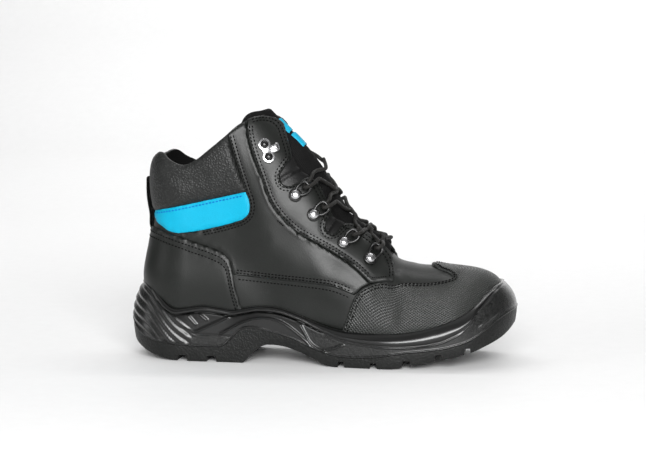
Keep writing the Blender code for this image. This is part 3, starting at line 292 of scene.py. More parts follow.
# Outline and fold of the gusset in each notch
GUSSETS = (
    (
        drawn(
            (-31, 160), (-34, 150), (-31, 139.5), (-22, 135.5), (-9, 141), (-6.5, 146), (-14, 152),
            (-19, 160), (-23.5, 166.0),
        ),
        drawn((-28.0, 144.5), (-21.0, 149.0), (-14.5, 152.5)),
    ),
    (
        drawn((5, 119), (3.0, 109), (6, 100.5), (14, 98.5), (21, 104.5), (22, 108.5), (14, 114.5)),
        drawn((8.4, 103.8), (11.0, 108.4), (14.0, 113.5)),
    ),
)
CREASES = (
    Crease(((57, 80), (63, 74), (69, 68)), 0.3, 2.8),
    Crease(((61, 36), (61, 52), (60, 66)), -1.9, 11.0),
    Crease(((-42, 114), (-36, 92), (-16, 77), (12, 68)), -1.9, 16.0),
    Crease(((-134, 66), (-100, 63), (-66, 60)), -1.6, 16.0),
    Crease(((-64, 104), (-52, 98), (-40, 99)), 0.25, 4.0),
    Crease(((-116, 149), (-104, 143), (-90, 147)), 0.7, 5.0),
    Crease(((-20, 58), (0, 52), (16, 46)), 0.2, 5.0),
)


def smooth(knots: Sequence[float], values: Sequence[float], at: Array, tight: bool = True) -> Array:
    """Cubic through a table's values, level beyond its ends.

    Args:
        knots: Places of the values, rising.
        values: Values at the knots.
        at: Places to read.
        tight: Whether the curve may never overshoot the values.

    Returns:
        The value at each place.
    """
    knots, values, at = (np.asarray(part, float) for part in (knots, values, at))
    slopes = np.gradient(values, knots)
    if tight:
        rates = np.diff(values) / np.diff(knots)
        before, after = np.append(rates[0], rates), np.append(rates, rates[-1])
        most = 3 * np.minimum(np.abs(before), np.abs(after)) * (before * after > 0)
        slopes = np.clip(slopes, -most, most)
    low = np.clip(np.searchsorted(knots, at) - 1, 0, len(knots) - 2)
    step = knots[low + 1] - knots[low]
    s = unit((at - knots[low]) / step)
    rise = values[low + 1] - values[low]
    bend_in, bend_out = slopes[low] * step - rise, rise - slopes[low + 1] * step
    return values[low] + s * rise + s * (1 - s) * ((1 - s) * bend_in + s * bend_out)


def unit(value: Array | float) -> Array:
    """A value kept between 0 and 1."""
    return np.clip(value, 0.0, 1.0)


def lengths(line: Array) -> Array:
    """Length of a line up to each of its points."""
    return np.concatenate([[0], np.cumsum(np.linalg.norm(np.diff(line, axis=0), axis=1))])


def column(table: Sequence[NamedTuple], name: str, at: Array, key: str = "x") -> Array:
    """Value of a table's column at places along its key column."""
    return smooth([getattr(row, key) for row in table], [getattr(row, name) for row in table], at)


def section(name: str, at: Array) -> Array:
    """Value of the last's sections at places along the foot."""
    return column(SECTIONS, name, at)


def flow(edge: Sequence[Sequence[float]], step: float = 2.0) -> Array:
    """Points of the smooth curve through an edge's own points, about a step apart.

    Args:
        edge: Points of the edge, in order.
        step: Distance between the points of the curve.

    Returns:
        The curve's points, one row each.
    """
    points = np.array(edge, float)
    along = lengths(points)
    spread = np.linspace(0, along[-1], max(2, round(along[-1] / step) + 1))
    return np.stack([smooth(along, axis, spread, tight=False) for axis in points.T], 1)


def moved(line: Array, distance: float) -> Array:
    """A line of points shifted to its left by a distance."""
    ahead = np.gradient(line, axis=0)
    ahead /= np.linalg.norm(ahead, axis=1)[:, None]
    return line + distance * np.stack([-ahead[:, 1], ahead[:, 0]], 1)


def solve(value: Callable[[Array], Array], target: Array, low: float, high: float) -> Array:
    """Arguments at which a falling function meets its targets, by halving.

    Args:
        value: The function.
        target: Values to meet.
        low, high: Ends of the search.

    Returns:
        One argument for each target.
    """
    lows, highs = np.full(len(target), low), np.full(len(target), high)
    for _ in range(40):
        middle = (lows + highs) / 2
        above = value(middle) > target
        lows, highs = np.where(above, middle, lows), np.where(above, highs, middle)
    return (lows + highs) / 2


@dataclass(frozen=True)
class Last:
    """The shape that the boot is pulled over, and its unrolled chart.

    On the chart, u runs round the foot from the back of the heel to the tip of the toe, positive on
    the inner side, and v runs up from the feather edge to the ridge.

    Attributes:
        heel_axis, toe_axis: Places of the axes that the two ends are rounded about.
        heel_round, toe_round: Exponents of the ends' outlines in plan.
        toe_reach, toe_crown: From the toe axis to the tip, and the exponent of its side view.
        top, tall: Heights of the last and of the chart.
        heel_arc, toe_arc: Lengths of the quarter turns on the chart.
        even: Length to both sides over which the ridge's slope is evened out.
        core_inset, core_top: Where the points lie that the outside looks away from.
    """

    heel_axis: float = -105.0
    toe_axis: float = 95.0
    heel_round: float = 2.15
    toe_round: float = 2.3
    toe_reach: float = 50.0
    toe_crown: float = 5.0
    top: float = 206.0
    heel_arc: float = 52.0
    toe_arc: float = 62.0
    tall: float = 130.0
    even: float = 10.0
    core_inset: float = 25.0
    core_top: float = 150.0

    @property
    def run(self) -> float:
        """Length between the two axes."""
        return self.toe_axis - self.heel_axis

    @property
    def length(self) -> float:
        """Length of the chart from the back of the heel to the tip of the toe."""
        return self.heel_arc + self.run + self.toe_arc

    def full_width(self, x: Array, z: Array) -> Array:
        """Half width where the ridge doesn't round the last yet."""
        above = z - section("feather", x)
        levels = [level for _, level in WIDTH_LEVELS]
        shares = np.eye(len(levels))
        return sum(
            section(name, x) * smooth(levels, shares[k], above)
            for k, (name, _) in enumerate(WIDTH_LEVELS)
        )

    def ridge_slope(self, x: Array) -> Array:
        """Slope of the ridge line, evened out along it."""
        span = section("ridge", x + self.even) - section("ridge", x - self.even)
        return span / (2 * self.even)

    def half_width(self, x: Array, z: Array) -> Array:
        """Half width at a place along the foot and a height."""
        under = np.maximum(section("ridge", x) - z, 0.0) / np.sqrt(1 + self.ridge_slope(x) ** 2)
        share = unit(under / section("depth", x))
        fullness = section("fullness", x)
        return self.full_width(x, z) * (1 - (1 - share) ** fullness) ** (1 / fullness)

    @staticmethod
    def rounded(ahead: Array, aside: Array, angle: Array, exponent: float) -> Array:
        """Reach of a rounded end at an angle from its tip."""
        along, across = np.abs(np.cos(angle)), np.abs(np.sin(angle))
        ahead, aside = np.maximum(ahead, TINY), np.maximum(aside, TINY)
        return ((along / ahead) ** exponent + (across / aside) ** exponent) ** (-1 / exponent)

    def heel_reach(self, z: Array, turn: Array) -> Array:
        """Reach from the heel axis at a height and an angle from the back."""
        back = self.heel_axis - column(BACK_LINE, "x", z, key="z")
        return self.rounded(back, self.half_width(self.heel_axis, z), turn, self.heel_round)

    def toe_reach_at(self, share: Array, turn: Array) -> Array:
        """Reach from the toe axis at a share of the height and an angle from the tip.

        Args:
            share: Shares of the height between the feather edge and the ridge.
            turn: Angles from the tip.

        Returns:
            Distances from the axis.
        """
        low = section("feather", self.toe_axis)
        high = section("ridge", self.toe_axis)
        aside = self.half_width(self.toe_axis, low + (high - low) * share)
        tuck = smooth((0.0, 0.3, 1.0), (0.94, 1.0, 1.0), share)
        crown = (1 - np.minimum(share, 1.0) ** self.toe_crown) ** (1 / self.toe_crown)
        return self.rounded(self.toe_reach * tuck * crown, aside, turn, self.toe_round)

    def base(self, u: Array, v: Array) -> Array:
        """Points of the last under chart places.

        Args:
            u: Distances round the foot from the back of the heel, signed by side.
            v: Heights on the chart.

        Returns:
            Points in millimetres, one row each.
        """
        side, far = np.where(u < 0, -1.0, 1.0), np.abs(u)
        run_x = self.heel_axis + np.clip(far - self.heel_arc, 0, self.run)
        heel_turn = unit(far / self.heel_arc) * math.pi / 2
        toe_turn = unit((self.length - far) / self.toe_arc) * math.pi / 2
        share = np.sin(unit(v / self.tall) * math.pi / 2)
        feather = section("feather", run_x)
        top = np.minimum(section("ridge", run_x), self.top)
        z = feather + (top - feather) * share
        aside = self.half_width(run_x, z)
        at_heel, at_toe = far < self.heel_arc, far > self.heel_arc + self.run
        heel, toe = self.heel_reach(z, heel_turn), self.toe_reach_at(share, toe_turn)
        x = np.where(at_heel, self.heel_axis - heel * np.cos(heel_turn), run_x)
        x = np.where(at_toe, self.toe_axis + toe * np.cos(toe_turn), x)
        y = np.where(at_heel, heel * np.sin(heel_turn), aside)
        y = np.where(at_toe, toe * np.sin(toe_turn), y)
        low, high = section("feather", x), section("ridge", x)
        z = np.where(at_toe, low + (high - low) * share, z)
        return np.stack([x, section("centre", x) + side * y, z], -1)

    def outward(self, u: Array, v: Array) -> Array:
        """Unit normals of the last at chart places.

        Args:
            u: Distances round the foot.
            v: Heights on the chart.

        Returns:
            Normals that point out, one row each.
        """
        step = 0.6
        away = np.where(u < 0, -1.0, 1.0)
        low = np.minimum(v, self.tall - 2.5)
        near = np.clip(np.abs(u), 1.2 * step, self.length - 1.2 * step) * away
        along = self.base(near + step, low) - self.base(near - step, low)
        up = self.base(near, np.minimum(v + step, self.tall)) - self.base(near, np.maximum(v - 2 * step, 0))
        normal = np.cross(up, along)
        flat = np.linalg.norm(normal, axis=1) < 1e-9
        normal[flat] = (0.0, 0.0, 1.0)
        normal /= np.linalg.norm(normal, axis=1)[:, None]
        middle = self.base(u, v)
        middle[:, 1] = section("centre", middle[:, 0])
        middle[:, 0] = np.clip(
            middle[:, 0], self.heel_axis + self.core_inset, self.toe_axis - self.core_inset
        )
        middle[:, 2] = np.minimum(middle[:, 2] - 12, self.core_top)
        inside_out = np.sum(normal * (self.base(u, v) - middle), axis=1) < 0
        normal[inside_out] *= -1
        return normal

    def place(self, u: Array, v: Array, out: Array | float) -> Array:
        """Points at a distance out from the last over chart places."""
        reach = np.broadcast_to(np.asarray(out, float), np.shape(u))
        return self.base(u, v) + self.outward(u, v) * reach[:, None]

    def chart_height(self, share: Array) -> Array:
        """Height on the chart of a share of the last's height."""
        return self.tall * 2 / math.pi * np.arcsin(share)

    def from_side(self, points: Array) -> Array:
        """Chart places of points seen from the side.

        Args:
            points: Pairs of x and z.

        Returns:
            Pairs of u and v.
        """
        points = np.asarray(points, float)
        x, z = points[:, 0], points[:, 1]
        table_x = np.where(x > self.toe_axis, x, np.clip(x, self.heel_axis, self.toe_axis))
        feather = section("feather", table_x)
        top = np.minimum(section("ridge", table_x), self.top)
        share = unit((z - feather) / (top - feather))
        heel = solve(lambda turn: self.heel_reach(z, turn) * np.cos(turn), self.heel_axis - x, 0, math.pi / 2)
        ahead = x - self.toe_axis
        toe = solve(lambda turn: self.toe_reach_at(share, turn) * np.cos(turn), ahead, 0, math.pi / 2)
        u = self.heel_arc + np.clip(x, self.heel_axis, self.toe_axis) - self.heel_axis
        u = np.where(x < self.heel_axis, heel / (math.pi / 2) * self.heel_arc, u)
        u = np.where(x > self.toe_axis, self.length - toe / (math.pi / 2) * self.toe_arc, u)
        return np.stack([u, self.chart_height(share)], 1)

    def from_plan(self, points: Array) -> Array:
        """Chart places of points of the last's top, given as x and distance off the middle.

        Args:
            points: Pairs of x and distance.

        Returns:
            Pairs of u and v.
        """
        points = np.asarray(points, float)
        x, off = points[:, 0], np.maximum(points[:, 1], TINY)
        table_x = np.minimum(x, self.toe_axis)
        feather, ridge = section("feather", table_x), section("ridge", table_x)
        on_run = solve(lambda s: self.half_width(table_x, feather + (ridge - feather) * s), off, 0.35, 1.0)
        turn = np.arctan2(off, np.maximum(x - self.toe_axis, TINY))
        reach = np.hypot(x - self.toe_axis, off)
        on_toe = solve(lambda s: self.toe_reach_at(s, turn), reach, 0.35, 1.0)
        at_toe = x > self.toe_axis
        u = self.heel_arc + table_x - self.heel_axis
        u = np.where(at_toe, self.length - turn / (math.pi / 2) * self.toe_arc, u)
        share = np.where(at_toe, on_toe, on_run)
        share = np.where(points[:, 1] <= 0, 1.0, share)
        return np.stack([u, self.chart_height(share)], 1)

    def saddle(self, x: Array, off: Array) -> Array:
        """Points of the last near its ridge, at distances off the middle line.

        Args:
            x, off: Places along the foot, and distances off the middle, signed by side.

        Returns:
            Points in millimetres.
        """
        ridge, fullness = section("ridge", x), section("fullness", x)
        deep = section("depth", x) * np.sqrt(1 + self.ridge_slope(x) ** 2)
        z = ridge
        for _ in range(4):
            across = unit(np.abs(off) / self.full_width(x, z))
            z = ridge - deep * (1 - (1 - across**fullness) ** (1 / fullness))
        return np.stack([x, section("centre", x) + off, z], -1)

    def saddle_out(self, x: Array, off: Array, out: Array | float) -> Array:
        """Points at a distance out from the last near its ridge.

        Args:
            x, off: Places along the foot, and distances off the middle, signed by side.
            out: Distances out from the last.

        Returns:
            Points in millimetres.
        """
        x, off = np.atleast_1d(np.asarray(x, float)), np.atleast_1d(np.asarray(off, float))
        x, off = np.broadcast_arrays(x, off)
        along = self.saddle(x + 0.5, off) - self.saddle(x - 0.5, off)
        across = self.saddle(x, off + 0.5) - self.saddle(x, off - 0.5)
        normal = np.cross(along, across)
        normal /= np.linalg.norm(normal, axis=-1)[..., None]
        return self.saddle(x, off) + normal * np.broadcast_to(np.asarray(out, float), x.shape)[..., None]

    def seat(self, x: float, z: float, side: Side, out: float) -> Matrix:
        """Frame on the upper's side.

        Args:
            x: Place along the foot.
            z: Height.
            side: Side of the foot.
            out: Distance out from the last.

        Returns:
            A frame in metres with X towards the ridge and Z out of the leather.
        """
        sign, step = side.value, 0.5

        def skin(at: float, up: float) -> float:
            """Y of the last's side."""
            return float(section("centre", at) + sign * self.half_width(at, up))

        lean_x = skin(x + step, z) - skin(x - step, z)
        lean_z = skin(x, z + step) - skin(x, z - step)
        normal = (sign * Vector((-lean_x, 1.0, -lean_z))).normalized()
        to_ridge = Vector((-float(self.ridge_slope(x)), 0.0, 1.0))
        to_ridge = (to_ridge - normal * to_ridge.dot(normal)).normalized()
        turn = Matrix((to_ridge, normal.cross(to_ridge), normal)).transposed().to_4x4()
        return Matrix.Translation((Vector((x, skin(x, z), z)) + normal * out) * MM) @ turn


LAST = Last()


def dense(line: Array, step: float = 0.4) -> Array:
    """A line's points with more between them, about a step apart."""
    along = lengths(line)
    spread = np.linspace(0, along[-1], max(2, int(along[-1] / step) + 1))
    return np.stack([np.interp(spread, along, axis) for axis in line.T], 1)


def distances(points: Array, line: Array) -> Array:
    """Distance of each point to the nearest of a line's points."""
    tree = KDTree(len(line))
    for index, place in enumerate(line):
        tree.insert(place, index)
    tree.balance()
    return np.array([tree.find(point)[2] for point in points])


def line_distance(x: Array, z: Array, line: Array) -> Array:
    """Distance of side-view places to a line's segments.

    Args:
        x: Places along the boot, in any shape.
        z: Heights, in the same shape.
        line: Points of the line.

    Returns:
        Distances in the same shape.
    """
    nearest = np.full(np.shape(x), FAR)
    for (x0, z0), (x1, z1) in zip(line, line[1:]):
        reach = max((x1 - x0) ** 2 + (z1 - z0) ** 2, 1e-9)
        share = unit(((x - x0) * (x1 - x0) + (z - z0) * (z1 - z0)) / reach)
        nearest = np.minimum(nearest, np.hypot(x - x0 - share * (x1 - x0), z - z0 - share * (z1 - z0)))
    return nearest


def rounded_edge(distance: Array, radius: float) -> Array:
    """Share of a panel's thickness at a distance from its edge."""
    return np.sqrt(1 - (1 - unit(distance / radius)) ** 2)


def mapped_grid(points: Array, texture: Array | None = None) -> Mesh:
    """A skin through rows of points, welded where they meet.

    Args:
        points: Places in millimetres, as rows of columns.
        texture: Texture places of the same rows and columns.

    Returns:
        The skin in metres.
    """
    rows, columns = points.shape[:2]
    mesh = bmesh.new()
    bmesh.ops.create_grid(mesh, x_segments=columns - 1, y_segments=rows - 1, size=0.5)
    layer = mesh.loops.layers.uv.new("place")
    spots = {}
    for vert in mesh.verts:
        spots[vert] = (round((vert.co.y + 0.5) * (rows - 1)), round((vert.co.x + 0.5) * (columns - 1)))
    for face in mesh.faces:
        for loop in face.loops:
            row, at = spots[loop.vert]
            loop[layer].uv = texture[row, at] if texture is not None else (at / columns, row / rows)
    for vert, spot in spots.items():
        vert.co = Vector(points[spot]) * MM
    bmesh.ops.remove_doubles(mesh, verts=mesh.verts, dist=0.01 * MM)
    bmesh.ops.dissolve_degenerate(mesh, edges=mesh.edges, dist=0.005 * MM)
    bmesh.ops.recalc_face_normals(mesh, faces=mesh.faces)
    return mesh


def face_out(mesh: Mesh, middle: Callable[[Vector], Vector]) -> Mesh:
    """Turns a mesh's faces away from a middle, all together.

    Args:
        mesh: The mesh, changed in place.
        middle: The point that a place looks away from.

    Returns:
        The same mesh.
    """
    bmesh.ops.recalc_face_normals(mesh, faces=mesh.faces)
    votes = 0.0
    for face in mesh.faces:
        centre = face.calc_center_median()
        votes += face.normal.dot(centre - middle(centre)) * face.calc_area()
    if votes < 0:
        bmesh.ops.reverse_faces(mesh, faces=mesh.faces)
    return mesh


def foot_middle(place: Vector) -> Vector:
    """A point inside the boot that a place on its outside looks away from."""
    x = min(max(place.x / MM, LAST.heel_axis + LAST.core_inset), LAST.toe_axis - 20)
    centre = float(section("centre", x))
    return Vector((x, centre, min(place.z / MM - 10, LAST.core_top))) * MM


class Nodes:
    """A material's node tree while it is being wired."""

    def __init__(self, name: str) -> None:
        """Starts a material with its Principled shader."""
        self.material = bpy.data.materials.new(name)
        self.material.use_nodes = True
        self.tree = self.material.node_tree
        self.shader = self.tree.nodes["Principled BSDF"]

    def add(self, kind: str, **values: object) -> Node:
        """Adds a node.

        Args:
            kind: Type of the node, without its prefix.
            **values: Settings of the node, or values of its sockets, with spaces as underscores.

        Returns:
            The node.
        """
        node = self.tree.nodes.new(f"ShaderNode{kind}")
        for name, value in values.items():
            if hasattr(node, name):
                setattr(node, name, value)
            else:
                node.inputs[name.replace("_", " ")].default_value = value
        return node

    def join(self, source: Node, out: str, target: Node, into: str | int) -> None:
        """Links two sockets, the second by its name or number."""
        self.tree.links.new(source.outputs[out], target.inputs[into])

    def ramp(self, source: Node, out: str, low: float, high: float, ends: tuple) -> Node:
        """Maps a socket's range to a range of values, clamped."""
        node = self.add("MapRange", From_Min=low, From_Max=high, To_Min=ends[0], To_Max=ends[1])
        self.join(source, out, node, "Value")
        return node

    def tint(self, source: Node, out: str, dark: tuple, light: tuple) -> Node:
        """Maps a socket from 0 to 1 to colours between two."""
        node = self.add("ValToRGB")
        node.color_ramp.elements[0].color = (*dark, 1.0)
        node.color_ramp.elements[1].color = (*light, 1.0)
        self.join(source, out, node, "Fac")
        return node


@dataclass(frozen=True)
class Finish:
    """A procedural finish.

    Attributes:
        name: Name of the material.
        colour: Middle colour, linear.
        roughness: Middle roughness.
        pattern: Pattern of the surface.
        scale: Size of the pattern's cells in millimetres.
        bump: Depth of the pattern in millimetres.
        shade: How far the colour varies either way, as a share.
        coat: Weight of a clear coat.
        metallic: Whether it is metal.
        sheen: Weight of a fabric's sheen.
        gloss: Specular level.
        depth: Share of the colour's variation that follows the pattern.
        rougher: How much rougher the pattern's heights are than the middle.
        masked: Whether the piece's own texture places say where the pattern shows.
    """

    name: str
    colour: tuple[float, float, float]
    roughness: float
    pattern: Pattern
    scale: float
    bump: float
    shade: float = 0.25
    coat: float = 0.0
    metallic: float = 0.0
    sheen: float = 0.0
    gloss: float = 0.3
    depth: float = 0.4
    rougher: float = -0.06
    masked: bool = False

    def material(self) -> bpy.types.Material:
        """Makes the finish once, beside the frame's own materials, and hands it out again later."""
        return bpy.data.materials.get(f"{self.name}_finish") or self.wired().material

    def wired(self) -> Nodes:
        """Wires the material: the pattern to bump, and with soft noise to colour and roughness."""
        nodes = Nodes(f"{self.name}_finish")
        shader = nodes.shader
        place = nodes.add("TexCoord")
        patches = nodes.add("TexNoise", Scale=70.0, Detail=4.0, Roughness=0.6)
        nodes.join(place, "Object", patches, "Vector")
        height, out = self.height(nodes, place)
        if self.masked:
            height, out = self.mask(nodes, place, height, out)
        fine = nodes.ramp(height, out, 0.0, 1.0, (0.0, self.depth))
        soft = nodes.ramp(patches, "Fac", 0.25, 0.75, (0.0, 1.0 - self.depth))
        tone = nodes.add("Math", operation="ADD")
        nodes.join(fine, "Result", tone, 0)
        nodes.join(soft, "Result", tone, 1)
        dark = tuple(channel * (1 - self.shade) for channel in self.colour)
        light = tuple(min(channel * (1 + self.shade), 1.0) for channel in self.colour)
        tint = nodes.tint(tone, "Value", dark, light)
        nodes.join(tint, "Color", shader, "Base Color")
        ends = (self.roughness - self.rougher, self.roughness + self.rougher)
        rough = nodes.ramp(tone, "Value", 0.0, 1.0, ends)
        nodes.join(rough, "Result", shader, "Roughness")
        bump = nodes.add("Bump", Strength=1.0, Distance=self.bump * MM)
        nodes.join(height, out, bump, "Height")
        nodes.join(bump, "Normal", shader, "Normal")
        sockets = {
            "Coat Weight": self.coat, "Coat Roughness": 0.25, "Metallic": self.metallic,
            "Sheen Weight": self.sheen, "Sheen Roughness": 0.5, "Specular IOR Level": self.gloss,
        }
        for socket, value in sockets.items():
            shader.inputs[socket].default_value = value
        return nodes

    @staticmethod
    def mask(
        nodes: Nodes, place: Node, height: Node, out: str
    ) -> tuple[Node, str]:
        """Wires the pattern to show only where the piece's first texture coordinate says."""
        parts = nodes.add("SeparateXYZ")
        nodes.join(place, "UV", parts, "Vector")
        shown = nodes.add("Math", operation="MULTIPLY")
        nodes.join(height, out, shown, 0)
        nodes.join(parts, "X", shown, 1)
        return shown, "Value"

    def height(self, nodes: Nodes, place: Node) -> tuple[Node, str]:
        """Wires the pattern's height and returns its node and socket."""
        if self.pattern in (Pattern.RIBS, Pattern.WEAVE, Pattern.BRAID):
            return self.crossed(nodes, place)
        if self.pattern is Pattern.GRAIN:
            cells = nodes.add("TexVoronoi", feature="SMOOTH_F1", Scale=1000 / self.scale, Smoothness=0.35)
            nodes.join(place, "Object", cells, "Vector")
            return nodes.ramp(cells, "Distance", 0.1, 0.65, (1.0, 0.0)), "Result"
        fine = nodes.add("TexNoise", Scale=1000 / self.scale, Detail=2.0)
        nodes.join(place, "Object", fine, "Vector")
        if self.pattern is Pattern.STIPPLE:
            return nodes.ramp(fine, "Fac", 0.42, 0.62, (0.0, 1.0)), "Result"
        return fine, "Fac"

    def crossed(self, nodes: Nodes, place: Node) -> tuple[Node, str]:
        """Wires two crossing families of ribs on the piece's own texture places."""
        angle = math.radians(0 if self.pattern is Pattern.WEAVE else 45)
        waves = []
        for turn in (angle, angle + math.pi / 2):
            mapped = nodes.add("Mapping", Rotation=(0.0, 0.0, turn))
            nodes.join(place, "UV", mapped, "Vector")
            wave = nodes.add("TexWave", Scale=1000 * math.tau / (20 * self.scale), Distortion=0.0)
            nodes.join(mapped, "Vector", wave, "Vector")
            waves.append(wave)
        both = nodes.add("Math", operation="MAXIMUM")
        nodes.join(waves[0], "Fac", both, 0)
        nodes.join(waves[1], "Fac", both, 1)
        return both, "Value"


class Finishes:
    """The boot's finishes."""

    LEATHER = Finish("leather", (0.0030, 0.0040, 0.0030), 0.41, Pattern.GRAIN, 0.9, 0.025, gloss=0.42)
    CAP = Finish(
        "cap", (0.010, 0.0110, 0.010), 0.40, Pattern.RIBS, 2.0, 0.4, 0.9, gloss=0.5, depth=0.9,
        rougher=-0.1,
    )
    COLLAR = Finish(
        "collar", (0.006, 0.0068, 0.0062), 0.48, Pattern.GRAIN, 1.7, 0.3, 0.7, gloss=0.45, depth=0.8,
    )
    GUSSET = Finish("gusset", (0.005, 0.005, 0.005), 0.40, Pattern.GRAIN, 1.2, 0.05, gloss=0.25)
    BAND = Finish("band", (0.0, 0.33, 0.51), 0.5, Pattern.GRAIN, 0.6, 0.05, 0.06, gloss=0.2)
    LINING = Finish("lining", (0.004, 0.004, 0.004), 0.9, Pattern.WEAVE, 1.2, 0.2, 0.4, gloss=0.08)
    TONGUE = Finish("tongue", (0.004, 0.004, 0.004), 0.75, Pattern.WEAVE, 1.1, 0.2, 0.5, gloss=0.12)
    WEBBING = Finish("webbing", (0.004, 0.004, 0.004), 0.8, Pattern.WEAVE, 1.0, 0.25, 0.5, gloss=0.12)
    LACE = Finish("lace", (0.009, 0.0085, 0.0075), 0.55, Pattern.BRAID, 1.0, 0.3, 0.8, gloss=0.3, depth=0.8)
    THREAD = Finish("thread", (0.001, 0.001, 0.001), 0.7, Pattern.SMOOTH, 0.3, 0.05, gloss=0.1)
    BAND_THREAD = Finish("band_thread", (0.0, 0.12, 0.44), 0.6, Pattern.SMOOTH, 0.3, 0.05, gloss=0.15)
    MIDSOLE = Finish(
        "midsole", (0.0040, 0.0044, 0.0040), 0.42, Pattern.STIPPLE, 1.7, 0.4, 0.8, coat=0.9, gloss=0.2,
        depth=0.8, rougher=0.14, masked=True,
    )
    RUBBER = Finish("rubber", (0.0060, 0.0064, 0.0060), 0.45, Pattern.STIPPLE, 1.7, 0.15, 0.5, gloss=0.3)
    CHROME = Finish("chrome", (0.52, 0.52, 0.53), 0.26, Pattern.POLISH, 2.0, 0.01, 0.05, metallic=1.0)
    BLACK_METAL = Finish("black_metal", (0.006, 0.006, 0.006), 0.25, Pattern.POLISH, 1.0, 0.02, coat=0.4)
    FLOOR = Finish("floor", (0.82, 0.82, 0.82), 0.6, Pattern.SMOOTH, 4.0, 0.02, 0.02)


def placed(name: str, mesh: Mesh) -> bpy.types.Object:
    """Puts a mesh into the scene as an object and frees it.

    Args:
        name: Name of the object.
        mesh: Its mesh in metres.

    Returns:
        The object.
    """
    data = bpy.data.meshes.new(name)
    mesh.to_mesh(data)
    mesh.free()
    made = bpy.data.objects.new(name, data)
    bpy.context.scene.collection.objects.link(made)
    return made


def add_piece(
    name: str,
    mesh: Mesh,
    finish: Finish,
    stands_for: Sequence[str] = (),
    crease: float = 50.0,
) -> bpy.types.Object:
    """Adds a piece of the boot.

    Args:
        name: Name of the piece.
        mesh: Its mesh in metres, freed afterwards.
        finish: Its finish.
        stands_for: Nodes that it replaces.
        crease: Angle in degrees from which an edge stays sharp.

    Returns:
        The piece, riding on the boot's one body.
    """
    made = placed(name, mesh)
    made.data.materials.append(finish.material())
    made.data.shade_smooth()
    made.data.set_sharp_from_angle(angle=math.radians(crease))
    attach(made, "root")
    if stands_for:
        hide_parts(*stands_for)
    LOG.info("%s: %d faces", name, len(made.data.polygons))
    return made


def creased(points: Array) -> Array:
    """How far the soft creases move places on the last in or out."""
    moves = np.zeros(len(points))
    for crease in CREASES:
        line = flow(crease.line)
        near = line_distance(points[:, 0], points[:, 2], line) / crease.width
        moves += crease.depth * (0.45 * np.exp(-((near - 1.7) ** 2)) - np.exp(-(near**2)))
    return moves


